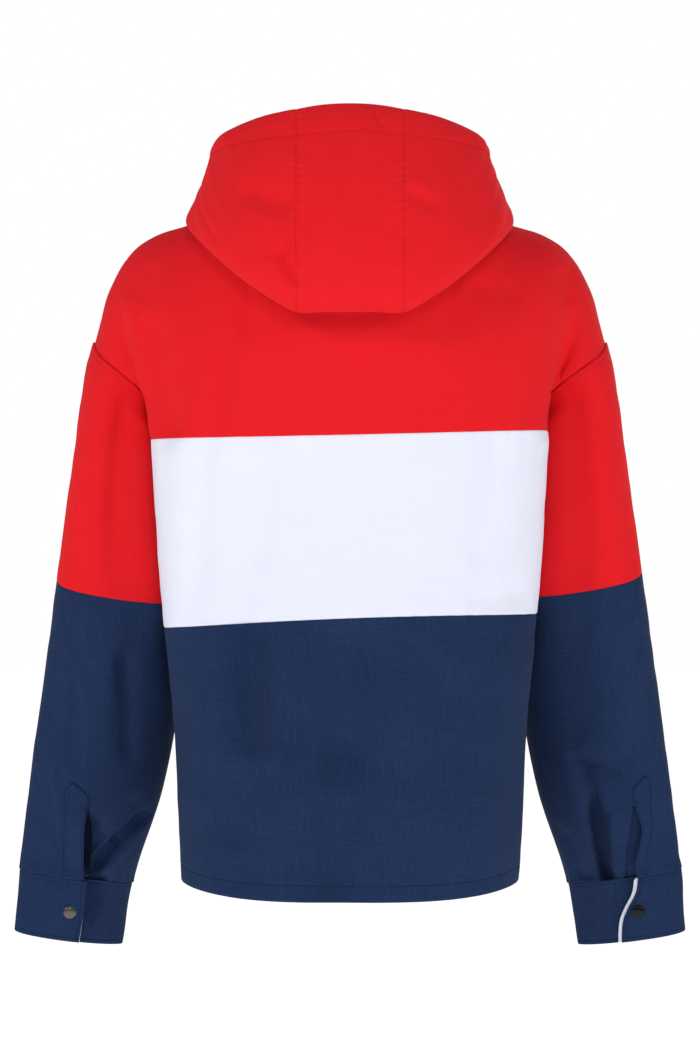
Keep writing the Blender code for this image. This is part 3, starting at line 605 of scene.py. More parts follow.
def opening_turns(side, at):
    """Turns of the slit's edge and the sewn strip's three lines, then of the strip's free edge."""
    at = max(at, STRIP_POINT[side])
    free, sewn, slit = read(OPENING[side], "free sewn slit", at)
    marks = (slit, free + SLIT_COVER, (free + SLIT_COVER + sewn) / 2, sewn, free)
    return [turn_at(side, at, x) for x in marks]


def cuff_start(side, at):
    """Turn of the end of the cuff's upper layer."""
    return turn_at(side, at, float(read(CUFF_END[side], "edge", at)))


def cuff_lift(way):
    """How far the cuff stands off, by its way round from the end of its upper layer."""
    return CUFF_LIFT * ease(1 - (way - CUFF_LAP - CUFF_LEVEL) / CUFF_RISE) - CUFF_SINK


# ---- shells

CELL = 3.2  # widest cell of a shell
FINE_CELL = 2.2  # on the lower sleeves and the hood, which have sharper creases
EDGE_ROWS = (0.5, 1.2, 2.4)  # close rows beside an edge, where the cloth turns under
MARK_ROWS = (-1.5, -0.7, 0, 0.7, 1.5)  # close rows beside a line of stitches
CLOSEST = 0.3  # rows are never closer than this
WALL = 1.0  # thickness of one ply as it shows
HEM_WALL = 1.9  # of a hem, three plies up to its stitches
HEM_STEP = 2  # width of the step there
ROLL = 0.75  # how far an edge rolls under
ROLL_REACH = 1.4
CUFF_ROLL = 0.45  # at the cuff's seam, which lies closer
SHARP = np.radians(70)  # steeper edges of a shell are drawn sharp
GROOVE = 0.5  # how deep a line of stitches pulls the cloth in
GROOVE_REACH = 0.9
HEM_STITCH = 16  # stitch lines, by their distance from the edge
CUFF_STITCH = 4
SLEEVE_HEAD_STITCH = 5
STRIP_STITCH = 1.8


def course(length, marks=(), cell=CELL):
    """Shares of a length, close together at its ends and beside each mark."""
    places = list(np.linspace(0, length, int(np.ceil(length / cell)) + 1))
    for edge in EDGE_ROWS:
        places += [edge, length - edge]
    for mark in marks:
        places += [mark + row for row in MARK_ROWS]
    kept = [0.0]
    for place in np.sort(np.clip(places, 0, length)):
        if place - kept[-1] > CLOSEST:
            kept.append(place)
    kept[-1] = length
    return np.array(kept) / length


def stretch(point, axis):
    """Distance of each grid point from the grid's first edge, along an axis."""
    step = np.linalg.norm(np.diff(point, axis=axis), axis=-1)
    first = np.zeros_like(np.take(step, [0], axis=axis))
    return np.concatenate([first, np.cumsum(step, axis=axis)], axis=axis)


def spaced(curve, *marks, cell=CELL):
    """Values between each mark and the next that lie about a cell apart along a curve."""
    values = []
    for first, last in zip(marks, marks[1:]):
        tries = np.linspace(first, last, TRIES)
        reach = stretch(curve(tries)[:, None], 0)[:, 0]
        part = np.interp(course(reach[-1], (), cell) * reach[-1], reach, tries)
        values.append(part if not values else part[1:])
    return np.concatenate(values)


def put(name, data):
    """Put new data in the scene as an object."""
    made = bpy.data.objects.new(name, data)
    bpy.context.scene.collection.objects.link(made)
    return made


def put_mesh(name, points, faces, look, node=None):
    """Put a mesh on the jacket, in the place of a node if one is named."""
    mesh = bpy.data.meshes.new(name)
    mesh.from_pydata((np.array(points) * MM).tolist(), [], faces)
    mesh.materials.append(look)
    mesh.shade_smooth()
    made = put(name, mesh)
    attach(made, "root")
    if node:
        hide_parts(node)
    return made


def shell_faces(size, chart, hand, ring, keep):
    """Faces of a closed shell between two grids of points, and the chart's place of each corner."""
    rows, columns = size
    last = rows if ring else rows - 1
    i, j = np.nonzero(np.ones((last, columns - 1)) if keep is None else keep[:last])
    k = (i + 1) % rows
    cells = np.stack([i * columns + j, k * columns + j, k * columns + j + 1, i * columns + j + 1], -1)
    spots = np.stack([chart[i, j], chart[i + 1, j], chart[i + 1, j + 1], chart[i, j + 1]], 1)
    if hand < 0:
        cells, spots = cells[:, ::-1], spots[:, ::-1]
    under = rows * columns
    start, end = cells.ravel(), np.roll(cells, -1, axis=1).ravel()
    rim = ~np.isin(end * under + start, start * under + end)
    a, b = start[rim], end[rim]
    p, q = spots.reshape(-1, 2)[rim], np.roll(spots, -1, axis=1).reshape(-1, 2)[rim]
    faces = np.concatenate([cells, cells[:, ::-1] + under, np.stack([b, a, a + under, b + under], -1)])
    return faces, np.concatenate([spots, spots[:, ::-1], np.stack([q, p, p, q], 1)])


def shell(node, point, hand, look, ring=False, keep=None, lift=0.0, relief=0.0, thick=WALL, roll=ROLL,
          stitches=()):
    """hand is 1 where the grid of points runs outward by the right-hand rule and -1 where it
    doesn't. lift and relief move the points outward. Each stitch line is (edge, distance).
    Gives the shell's outer points and directions, from which threads are made.
    """
    closed = np.concatenate([point, point[:1]]) if ring else point
    round_it = np.concatenate([point[-1:], closed])
    slope = round_it[2:] - round_it[:-2] if ring else np.gradient(point, axis=0)
    normal = hand * unit(np.cross(slope, np.gradient(point, axis=1)))
    chart = np.stack([stretch(closed, 0), stretch(closed, 1)], -1)
    across, along = np.moveaxis(chart[:len(point)], -1, 0)
    ends = {"low": along, "high": along[:, -1:] - along, "first": across, "last": across[-1:] - across}
    from_edge = np.minimum.reduce([ends[edge] for edge in (("low", "high") if ring else ends)])
    out = lift + relief - roll * ease(1 - from_edge / ROLL_REACH)
    for edge, distance in stitches:
        out = out - GROOVE * np.exp(-(((ends[edge] - distance) / GROOVE_REACH) ** 2))
    outer = point + normal * out[..., None]
    inner = point + normal * np.broadcast_to(lift + relief - thick, out.shape)[..., None]
    faces, spots = shell_faces(out.shape, chart, hand, ring, keep)
    used, faces = np.unique(faces, return_inverse=True)
    points = np.concatenate([outer.reshape(-1, 3), inner.reshape(-1, 3)])[used]
    made = put_mesh(f"{node}_cloth", points, faces.reshape(-1, 4).tolist(), look, node)
    made.data.uv_layers.new(name="weave").uv.foreach_set("vector", spots.astype(np.float32).ravel())
    made.data.set_sharp_from_angle(angle=SHARP)
    return outer, normal


# ---- creases

# Creases from one point of a face to another; deep is how far they press the cloth in, below
# zero for a ridge, and wide is how far aside they reach
BACK_CREASES = table("""
x0 z0 x1 z1 deep wide
-192 -128 -177 -240 6 11
-216 -100 -205 -186 -4 8
-210 -120 -196 -234 -1.6 3.5
-123 -139 -131 -233 2.6 12
-106 -135 -110 -231 -2.2 10
-163 -165 -170 -228 2.4 10
-74 -188 -85 -356 3 12
-85 -269 -108 -418 3.4 16
-139 -240 -148 -394 3 12
-165 -245 -167 -413 -2.6 14
-48 -240 -43 -317 1.8 8
144 -240 123 -356 2.8 16
118 -396 168 -388 2.6 13
-98 -423 -96 -535 13 17
-133 -430 -140 -600 -7 16
-56 -432 -70 -548 -8 18
-68 -540 -88 -640 -8 18
-6 -432 -6 -560 11 24
-8 -540 -16 -675 12 22
103 -450 98 -650 -11 44
-130 -601 -85 -634 2.4 10
-15 -655 -2 -682 1.8 4
2 -659 12 -684 1.4 4
-48 -653 -52 -682 1.3 4
98 -654 115 -659 1.4 4
218 -70 214 -134 2.4 5
214 -134 201 -190 2.8 5
201 -190 190 -236 2.6 5
206 -72 219 -100 2.4 10
-196 -69 -203 -100 2 10
120 -91 163 -98 2 10
""")
FRONT_CREASES = table("""
x0 z0 x1 z1 deep wide
-128 -150 -120 -240 1.6 14
112 -140 118 -236 1.4 13
-70 -200 -80 -360 1.5 14
88 -250 96 -400 1.8 15
-140 -260 -132 -400 1.6 13
60 -300 58 -410 -1 12
-96 -420 -104 -560 2 18
110 -430 104 -600 2.2 20
52 -440 64 -640 1.6 18
-52 -470 -60 -650 1.8 20
-130 -600 -96 -640 1.2 10
132 -500 128 -620 -1.4 16
-34 -655 -44 -680 1 4
70 -656 82 -682 0.9 4
-100 -90 -140 -118 1.2 12
96 -86 138 -120 1.3 12
""")
SLEEVE_CREASES = {
    -1: table("""
x0 z0 x1 z1 deep wide
-230 -396 -240 -496 -3 12
-224 -451 -221 -555 4.5 10
-271 -406 -276 -565 2.4 8
-206 -613 -236 -643 6 4
-232 -639 -260 -673 8 3.8
-212 -600 -262 -656 4 9
-199 -612 -248 -672 -4.5 5
-292 -430 -300 -560 1.8 7
-315 -570 -292 -645 1.2 3
-306 -570 -288 -640 0.8 3
-263 -267 -268 -377 2 9
-238 -168 -253 -357 -1.6 12
-226 -200 -240 -330 2.2 8
"""),
    1: table("""
x0 z0 x1 z1 deep wide
222 -555 268 -570 4 5
233 -536 273 -546 -2.5 10
231 -560 248 -625 4.5 9
243 -592 259 -682 11 4
250 -630 258 -684 3 9
228 -668 238 -680 2 3
262 -615 266 -670 -3 4
227 -683 233 -667 0.8 3
238 -683 242 -669 0.8 3
270 -267 276 -367 2 10
246 -180 254 -357 -1.8 12
"""),
}
# The left sleeve's front, with x as a distance from the jacket's middle, and how much further
# in and down the same creases lie on each sleeve
SLEEVE_FRONT_CREASES = table("""
x0 z0 x1 z1 deep wide
238 -300 236 -400 1.2 10
226 -430 250 -470 1.8 8
262 -460 268 -560 -1.2 10
238 -540 262 -556 1.6 7
250 -590 258 -660 1.5 5
290 -560 286 -640 1.2 6
""")
SLEEVE_FRONT_SHIFT = {-1: (0, 0), 1: (4, 14)}
HOOD_CREASES = table("""
x0 z0 x1 z1 deep wide
-102 0 -60 -20 6 12
-57 -52 -65 -66 1.8 5
-67 -64 -53 -93 5.5 5
-76 -70 -62 -96 -2 7
57 -6 82 -18 2.4 7
56 6 78 -4 -2 8
22 76 32 61 1.8 3
0 54 0 31 1.4 4
-58 74 -48 52 1.4 4
-31 37 -38 -97 1.6 10
19 76 10 37 -1.4 6
96 40 122 -30 1.6 12
""")
CREASE_OVER = 0.2  # share of a crease's length by which it runs on past each end
CREASE_FADE = 3  # it fades over a third of its length at each end
SWELL = 1.2  # soft unevenness of hanging cloth, and how far apart it is
SWELL_SIZE = (70, 190)
WAVER = 0.34  # finer unevenness
WAVER_SIZE = (16, 30)
LATTICE = 64  # rows of a noise's random values, after which it repeats

# Short gathers that each seam draws into the cloth beside it: pitch, height, reach and seed
GATHERS = {
    "hem": (15, 0.6, 9, 31),
    "panel": (15, 0.5, 22, 37),
    "sleeve": (11, 2.0, 8, 61),
    "cuff": (13, 0.5, 12, 71),
    "hood": (9, 1.0, 7, 81),
    "casing": (12, 0.8, 9, 91),
}
GATHER_EVEN = 0.6  # share of a gather's height that doesn't vary


def noise(u, v, size, seed):
    """Smooth unevenness between -1 and 1, about size across."""
    lattice = np.random.default_rng(seed).uniform(-1, 1, (LATTICE, LATTICE))
    u, v = np.broadcast_arrays(u / size, v / size)
    i, j = np.floor(u).astype(int), np.floor(v).astype(int)
    s, t = ease(u - i), ease(v - j)
    value = lambda i, j: lattice[i % LATTICE, j % LATTICE]
    near = value(i, j) * (1 - s) + value(i + 1, j) * s
    far = value(i, j + 1) * (1 - s) + value(i + 1, j + 1) * s
    return near * (1 - t) + far * t


def creased(rows, x, z):
    """Relief of a table of creases at points of a face."""
    relief = np.zeros(np.shape(x))
    for x0, z0, x1, z1, deep, wide in zip(*rows.values()):
        press, share = line_press(np.stack([x - x0, z - z0], -1), np.array([x1 - x0, z1 - z0]), wide)
        into, out_of = share + CREASE_OVER, 1 + CREASE_OVER - share
        relief -= deep * press * (ease(into * CREASE_FADE) * ease(out_of * CREASE_FADE))
    return relief


def uneven(u, v, seed):
    """Soft relief of hanging cloth; u runs across it and v down it."""
    soft = SWELL * noise(u, 0 * u, SWELL_SIZE[0], seed) * noise(u, v, SWELL_SIZE[1], seed + 1)
    return soft + WAVER * noise(u, v, WAVER_SIZE[0], seed + 2) + WAVER * noise(u, v, WAVER_SIZE[1], seed + 3)


def gathers(seam, along, from_seam, side=0):
    """Relief of a seam's gathers, with other random values on each side."""
    pitch, high, reach, seed = GATHERS[seam]
    phase = along + pitch * noise(along, 0 * along, 3 * pitch, seed + side)
    tall = noise(along, 0 * along, 2 * pitch, seed + side + 1)
    height = high * (GATHER_EVEN + (1 - GATHER_EVEN) * tall)
    return height * np.sin(TAU * phase / pitch) * np.exp(-np.abs(from_seam) / reach)


# ---- materials

YARN = 0.55  # millimetres from thread to thread
TWILL = 1.3  # and from rib to rib
BUMP = {"Strength": 0.35, "Distance": 0.00025}
CROSSING_TONE = 0.1  # parts of the threads' crossings and the ribs in the tone
TWILL_TONE = 0.06
HEIGHTS = (0.3, 0.25, 0.25, 0.25)  # parts of crossings, ribs and two streaks in the height
GLOSS_SPOTS = {"Scale": 900.0, "Detail": 3.0}
GLOSS = (0.25, 0.85)  # shares of a plain material's roughness that its spots add, and its least

# Streaks of the woven cloth: their scales across and along it, detail and part in its tone
STREAKS = table("""
across along detail tone
0.9 0.02 2 0.22
0.025 1 2 0.16
0.45 0.4 3 0.5
0.4 0.035 2 0.2
0.03 0.33 2 0.16
0.012 0.012 2 0.25
""")


def feed(tree, node, inputs):
    """Give a node its inputs, by name or number; each is a value or another node's output."""
    for name, value in inputs.items():
        if isinstance(value, bpy.types.NodeSocket):
            tree.links.new(value, node.inputs[name])
        else:
            node.inputs[name].default_value = value


def add(tree, kind, inputs, **settings):
    """Add a node, and give its outputs."""
    node = tree.nodes.new(kind)
    for name, value in settings.items():
        setattr(node, name, value)
    feed(tree, node, inputs)
    return node.outputs


def math(tree, operation, *values):
    """Result of one Math node."""
    return add(tree, "ShaderNodeMath", dict(enumerate(values)), operation=operation)[0]


def weave_group():
    """Tone and height of a fine twill with uneven threads, from a piece's chart in millimetres."""
    tree = bpy.data.node_groups.new("cloth_weave", "ShaderNodeTree")
    for name in ("Tone", "Height"):
        tree.interface.new_socket(name, in_out="OUTPUT", socket_type="NodeSocketFloat")
    chart = add(tree, "ShaderNodeUVMap", {}, uv_map="weave")[0]
    split = add(tree, "ShaderNodeSeparateXYZ", {0: chart})
    across, along = split["X"], split["Y"]
    weft = math(tree, "SINE", math(tree, "MULTIPLY", along, TAU / YARN))
    warp = math(tree, "SINE", math(tree, "MULTIPLY", across, TAU / YARN))
    diagonal = math(tree, "MULTIPLY", math(tree, "ADD", across, along), TAU / TWILL)
    twill = math(tree, "SINE", diagonal)
    crossing = math(tree, "MULTIPLY", weft, warp)
    streaks = []
    for x, y, detail, _ in zip(*STREAKS.values()):
        mapped = add(tree, "ShaderNodeMapping", {"Vector": chart, "Scale": (x, y, 1.0)})[0]
        made = add(tree, "ShaderNodeTexNoise", {"Vector": mapped, "Scale": 1.0, "Detail": detail})[0]
        streaks.append(math(tree, "MULTIPLY_ADD", made, 2.0, -1.0))

    def total(parts, amounts):
        level = 0.5
        for part, amount in zip(parts, amounts):
            level = math(tree, "MULTIPLY_ADD", part, amount, level)
        return level

    tone = total([*streaks, crossing, twill], [*STREAKS["tone"], CROSSING_TONE, TWILL_TONE])
    height = total([crossing, twill, *streaks[:2]], HEIGHTS)
    add(tree, "NodeGroupOutput", {"Tone": tone, "Height": height})
    return tree


def material(name, slot, values):
    """New material for a slot, with values of its shader."""
    made = bpy.data.materials.new(name)
    made.use_nodes = True
    if slot:
        made["slot"] = slot
    shader = made.node_tree.nodes["Principled BSDF"]
    feed(made.node_tree, shader, values)
    return made, made.node_tree, shader


def cloth(name, slot, dark, light):
    """Woven cloth between a dark and a light tone of its colour."""
    made, tree, shader = material(name, slot, {
        "Roughness": 0.85, "Specular IOR Level": 0.12, "Sheen Weight": 0.02, "Sheen Roughness": 0.5,
    })
    weave = add(tree, "ShaderNodeGroup", {}, node_tree=WOVEN)
    tones = {"A": (*dark, 1), "B": (*light, 1), "Factor": weave["Tone"]}
    color = add(tree, "ShaderNodeMix", tones, data_type="RGBA")["Result"]
    bump = add(tree, "ShaderNodeBump", {"Height": weave["Height"], **BUMP})["Normal"]
    feed(tree, shader, {"Base Color": color, "Normal": bump})
    return made


def plain(name, slot, color, roughness, metallic=0.0, specular=0.5):
    """Smooth material with a faint unevenness in its gloss."""
    made, tree, shader = material(name, slot, {
        "Base Color": (*color, 1), "Metallic": metallic, "Specular IOR Level": specular,
    })
    place = add(tree, "ShaderNodeTexCoord", {})["Object"]
    spots = add(tree, "ShaderNodeTexNoise", {"Vector": place, **GLOSS_SPOTS})[0]
    gloss = math(tree, "MULTIPLY_ADD", spots, *[share * roughness for share in GLOSS])
    feed(tree, shader, {"Roughness": gloss})
    return made


WOVEN = weave_group()
RED = cloth("red_twill", "red_cloth", (0.68, 0.008, 0.013), (0.765, 0.010, 0.017))
WHITE = cloth("white_twill", "white_cloth", (0.74, 0.755, 0.865), (0.78, 0.795, 0.91))
NAVY = cloth("navy_twill", "navy_cloth", (0.0048, 0.0150, 0.049), (0.0165, 0.0365, 0.105))
# Red thread: its own colour, darkened to about half the cloth's as painted shade of the stitch grooves
RED_THREAD_PAINTED_SHADE = plain("red_thread_painted_shade", "red_cloth", (0.36, 0.004, 0.008), 0.8, 0.0, 0.1)
WHITE_THREAD = plain("white_thread", "white_cloth", (0.75, 0.76, 0.82), 0.6)
# Navy thread: its own colour, darkened below the cloth's darkest tone as painted shade of the stitch grooves
NAVY_THREAD_PAINTED_SHADE = plain("navy_thread_painted_shade", "navy_cloth", (0.002, 0.006, 0.02), 0.8, 0.0, 0.1)
GUNMETAL = plain("gunmetal", "snap_metal", (0.11, 0.102, 0.096), 0.32, 1.0)
# Right cuff's snap: the same snap as the others, painted black and glossy for the dark reflection it shows
SNAP_PAINTED_DARK_REFLECTION = plain("snap_metal_painted_dark_reflection", "snap_metal", (0.002, 0.002, 0.003), 0.12, 0.0, 0.2)


# ---- threads and snaps

STITCH = 3.0  # pitch of the stitches
STITCH_SHARE = 0.74  # of the pitch that shows
STITCH_RINGS = np.array([0, 0.2, 0.8, 1])  # a stitch's ends and rings, as shares of its length
THREAD = 0.28  # half of a thread's width
THREAD_SIDES = 6

# Snap cap from its foot to its crown, as radius and height
CAP = ((6.2, 0), (6.5, 0.25), (6.5, 0.8), (6.25, 1.15), (5.85, 1.3), (5.5, 1.25), (5.25, 1.4),
       (4.7, 1.8), (3.6, 2.15), (2.2, 2.35), (0.9, 2.43))
CAP_SIDES = 48


def pick(places, reach, line):
    """Points or directions at places along a line of them."""
    return np.stack([np.interp(places, reach, line[:, axis]) for axis in range(3)], -1)


def row_at(made, edge, distance):
    """Points and directions of a shell at a distance from one of its edges."""
    point, normal = made
    if edge in ("first", "last"):
        point, normal = point.swapaxes(0, 1), normal.swapaxes(0, 1)
    if edge in ("high", "last"):
        point, normal = point[:, ::-1], normal[:, ::-1]
    places = list(zip(np.broadcast_to(distance, len(point)), stretch(point, 1)))
    found = [np.array([pick(*at, line) for at, line in zip(places, grid)]) for grid in (point, normal)]
    return found[0], unit(found[1])


def add_spindle(points, faces, sides, start, rings, end):
    """Add a closed form of rings between two end points. Each ring is its centre, its radius and
    two directions across, and turns left-handed about the way from start to end."""
    first = len(points)
    angle = TAU * np.arange(sides)[:, None] / sides
    points.append(start)
    for centre, radius, aside, top in rings:
        points.extend(centre + radius * (np.cos(angle) * aside + np.sin(angle) * top))
    points.append(end)
    last = len(points) - 1 - sides
    for n in range(sides):
        m = (n + 1) % sides
        faces.append((first, first + 1 + n, first + 1 + m))
        for a in range(first + 1, last, sides):
            faces.append((a + n, a + sides + n, a + sides + m, a + m))
        faces.append((last + n, last + sides, last + m))


def threads(name, runs, look):
    """Rows of stitches along runs of points and directions, as one piece."""
    points, faces = [], []
    for line, normal in runs:
        reach = stretch(line[:, None], 0)[:, 0]
        for start in np.arange(STITCH / 2, reach[-1] - STITCH, STITCH):
            places = start + STITCH * STITCH_SHARE * STITCH_RINGS
            middle, out = pick(places, reach, line), unit(pick(places, reach, normal))
            aside = np.cross(unit(middle[-1] - middle[0]), out)
            rings = [(middle[n], THREAD, aside[n], out[n]) for n in (1, 2)]
            ends = middle - THREAD * out
            add_spindle(points, faces, THREAD_SIDES, ends[0], rings, ends[3])
    put_mesh(name, points, faces, look)


def snap(node, point, normal, height, look):
    """Domed cap with a rolled rim."""
    seat = point + normal * height
    aside = unit(np.cross(normal, (0.0, 0.0, 1.0)))
    top = np.cross(aside, normal)
    points, faces = [], []
    rings = [(seat + rise * normal, radius, aside, top) for radius, rise in CAP]
    add_spindle(points, faces, CAP_SIDES, seat, rings, seat + SNAP_CROWN * normal)
    put_mesh(f"{node}_cap", points, faces, look, node)


# ---- body and yoke

SIDE_TURN = 0.6  # the side seams' share of the way from centre back to centre front
SIDE_FADE = 0.05
BODY_SEED = 11
FRONT_AWAY = 900  # the front's unevenness is taken this far from the back's
SHOULDER_FADE = 12  # relief fades out over a twelfth of the yoke's height
PLACKET_LINES = (34, 3)  # lines of stitches along each front's edge, by distance from it
SMOOTH_PASSES = 10  # they round the bend in the yoke below the shoulder seam's inner end
SMOOTH_FADE = 6
YOKE_MIDDLE = 0.6  # share of the yoke's height at which its columns are spaced


def body_relief(point, turn, from_seam, hem=None):
    """Creases and soft unevenness of the body and the yoke, level at the side seams."""
    x, z = point[..., 0], point[..., 2]
    from_side = SIDE_TURN - np.abs(turn)
    rear = from_side > 0
    relief = np.where(rear, creased(BACK_CREASES, x, z), creased(FRONT_CREASES, x, z))
    relief = relief + uneven(x + np.where(rear, 0, FRONT_AWAY), z, BODY_SEED)
    if hem is not None:
        relief = relief + gathers("hem", x, hem - HEM_STITCH)
    relief = relief + gathers("panel", x, from_seam)
    return relief * ease(np.abs(from_side) / SIDE_FADE)


def build_body():
    """Bands and lower panels, back and front."""
    runs = []
    for part, low, high, look in (("band", BAND_SEAM, YOKE_SEAM, WHITE), ("lower", HEM, BAND_SEAM, NAVY)):
        hem_line = [("low", HEM_STITCH)] if part == "lower" else []
        rows = course(high[0] - low[0], [distance for _, distance in hem_line])
        surface = lambda u, v: body(u, band_heights(u, v, low, high))
        middle = lambda u: surface(u, 0 * u + 0.5)
        grids = [(f"back_{part}", spaced(middle, -SIDE_TURN, SIDE_TURN)[:, None], 0)]
        fore = spaced(middle, SIDE_TURN, 1)[:-1]
        share = (fore - SIDE_TURN) / (fore[-1] - SIDE_TURN)
        for side, word in SIDES:
            span = side * np.array(FRONT_TURNS)
            edge = [solve(lambda u: side * surface(u, v)[..., 0], span, -FRONT_LAP) for v in rows]
            turn = side * (SIDE_TURN + (np.abs(edge) - SIDE_TURN) * share[:, None])
            grids.append((f"front_{part}_{word}", turn, side))
        for node, turn, side in grids:
            point = surface(turn, rows)
            up = stretch(point, 1)
            lift = lap_rise(point[..., 0]) if side < 0 else 0.0
            relief = body_relief(point, turn, up[:, -1:] - up, up if hem_line else None)
            plies = ease((HEM_STITCH + HEM_STEP / 2 - up) / HEM_STEP) if hem_line else 0.0
            lines = hem_line + [("last", distance) for distance in PLACKET_LINES if side]
            made = shell(node, point, 1 if side == 0 else side, look, lift=lift, relief=relief,
                         thick=WALL + (HEM_WALL - WALL) * plies, stitches=lines)
            found = [row_at(made, *line) for line in lines]
            if hem_line:
                runs += found
            elif side:
                threads(f"{node}_stitches", found, WHITE_THREAD)
    threads("hem_stitches", runs, NAVY_THREAD_PAINTED_SHADE)


def build_yoke():
    """Back yoke and the two front yokes."""
    rows = spaced(lambda v: skin("back", 1, 0 * v, v), 0, 1)
    columns = lambda face, side: lambda at: skin(face, side, at, 0 * at + YOKE_MIDDLE)
    at = spaced(columns("back", 1), -ARMHOLE, -NECK_END, NECK_END, ARMHOLE)
    build_yoke_shell("back_yoke", "back", 1, at[:, None], rows)
    for side, word in SIDES:
        across = lambda at, up: side * skin("front", side, at, up)[..., 0]
        edge = np.array([solve(lambda at: across(at, up), FRONT_STATIONS, -FRONT_LAP) for up in rows])
        share = spaced(columns("front", side), 0, NECK_END)[:, None] / NECK_END
        far = spaced(columns("front", side), NECK_END, ARMHOLE)[1:]
        far = np.repeat(far[:, None], len(rows), 1)
        at = np.concatenate([edge + (NECK_END - edge) * share, far])
        build_yoke_shell(f"front_yoke_{word}", "front", side, at, rows)


def build_yoke_shell(node, face, side, at, up):
    """One yoke, level at the shoulder seam."""
    front = face == "front"
    point = skin(face, side, at, up)
    held = ease((1 - up) * SMOOTH_FADE)[:, None]
    for _ in range(SMOOTH_PASSES):
        point[1:-1] += held * (point[2:] + point[:-2] - 2 * point[1:-1]) / 4
    turn = read(YOKE_FOOT, face, np.abs(at))
    relief = body_relief(point, turn, stretch(point, 1)) * ease((1 - up) * SHOULDER_FADE)
    lift = lap_rise(point[..., 0]) if side < 0 else 0.0
    lines = [("first", distance) for distance in PLACKET_LINES if front]
    made = shell(node, point, -side if front else 1, RED, lift=lift, relief=relief, stitches=lines)
    if front:
        threads(f"{node}_stitches", [row_at(made, *line) for line in lines], RED_THREAD_PAINTED_SHADE)


# ---- sleeves

GAP_COLUMNS = 3  # across the slit
STRIP_CELLS = 7  # across the strip
UPPER_MIDDLE = 1.3  # stations at which the columns of the upper and the lower sleeve are spaced
LOWER_MIDDLE = 2.5
NEARLY_ROUND = 0.9999  # end of the upper sleeve's columns, whose last one is left out
SLEEVE_STITCH_TURNS = (0.26, 0.74)
STRIP_CROSS = 0.085  # stations from the strip's point down to its cross stitches
STRIP_WALL = 1.6
BINDING_START = 0.006  # stations below the slit's upper end
BINDING_END = 2.999
BINDING_RISE = 0.06  # stations over which the binding comes up to the cuff's seam
BINDING_DEPTH = {-1: 16, 1: 2.5}  # how deep it slants in under the strip
SLIT_ROLL = {-1: 10, 1: 0.8}  # how far the sleeve's cloth rolls in beside the slit
SLIT_REACH = 8
SLIT_FADE = 0.07  # stations over which the roll fades above and below
STRIP_CURL = {-1: 4.6, 1: 2.6}  # how far the strip's free edge stands up
STRIP_BESIDE = 0.02  # turns from the strip's sewn edge to its middle
STRIP_CLEAR = 0.05  # no gathers lie within this many turns of that middle
CLEAR_FADE = 0.03
RISE_START = 1.5  # millimetres before the cuff's upper end at which the sleeve starts to rise
RISE_REACH = 14  # and how far above the seam
FACING_REACH = 14  # how far the facing runs in under the cuff's upper end
FACING_FADE = 0.02
LAP_DIP = {-1: 9, 1: 5}  # the cuff's lower layer dips beside the upper one's end, most at the top
LAP_DIP_REACH = 10
LAP_FLARE = {-1: 4.0, 1: 1.0}  # the upper one's end stands up beside it
LAP_FLARE_REACH = 9
INNER_FULLNESS = 12  # the upper sleeve's inner side is this much fuller at the back
INNER_REACH = 0.24  # within this turn from the inner line
INNER_END = 2.5  # down to this station
INNER_FADE = 0.7
CLOSE_REACH = 4  # from a seam, how far a lifted edge is thicker to close on what it covers
CLOSE_DEPTH = 1.3
CUFF_WAVER_SIZE = 22
CUFF_SEED = 75
SLEEVE_SEED = {-1: 41, 1: 61}
SOFT_GIRTH = 1.3 * SLEEVE_GIRTH  # way round the sleeve's middle
LINE_FADE = 4  # creases fade in over a sixteenth of a turn from the inner and outer lines
SOFT_FADE = 10  # and unevenness over a tenth from the inner line
HEAD_FADE = 8  # both over an eighth of a station from the armhole
END_FADE = 90  # and a ninetieth above the cuff's seam


def sleeve_relief(side, point, at, turn):
    """Creases of a sleeve, level along its inner and outer lines and at the armhole."""
    x, z = point[..., 0], point[..., 2]
    shift_x, shift_z = SLEEVE_FRONT_SHIFT[side]
    fore = creased(SLEEVE_FRONT_CREASES, side * x + shift_x, z + shift_z)
    relief = np.where(turn < 0.5, creased(SLEEVE_CREASES[side], x, z), fore)
    from_middle = np.abs((2 * turn) % 1 - 0.5) * 2
    relief = relief * ease((1 - from_middle) * LINE_FADE)
    soft = uneven(turn * SOFT_GIRTH, z, SLEEVE_SEED[side])
    soft = soft * ease(np.minimum(turn, 1 - turn) * SOFT_FADE)
    full = INNER_FULLNESS * np.sin(np.pi * np.clip(turn / INNER_REACH, 0, 1)) ** 2
    full = full * ease((INNER_END - at) / INNER_FADE)
    return (relief + soft + full) * ease((at - ARMHOLE) * HEAD_FADE) * ease((CUFF_SEAM - at) * END_FADE)


def slit_share(at):
    """How far the slit is open at a station."""
    return ease((at - SLIT_TOP) / SLIT_FADE) * ease((CUFF_SEAM - at) / SLIT_FADE)


def lap_dip(side, way):
    """Dip of the cuff's lower layer, deepest half a reach before the upper one's end."""
    beside = (way - 1) * SLEEVE_GIRTH / LAP_DIP_REACH + 0.5
    return LAP_DIP[side] * np.exp(-(beside ** 2))


def near_seam(at):
    """How near a station is to the cuff's seam, from 0 to 1."""
    return ease(1 - (CUFF_SEAM - at) * STATION_LENGTH / RISE_REACH)


def seam_rise(side, at, turn):
    """How far the sleeve's lower end rises or sinks to meet the cuff."""
    start = turn_at(side, CUFF_SEAM, CUFF_END[side]["edge"][0] - RISE_START)
    way = (turn - start) % 1
    return (cuff_lift(way) - lap_dip(side, way) + ROLL / 2) * near_seam(at)


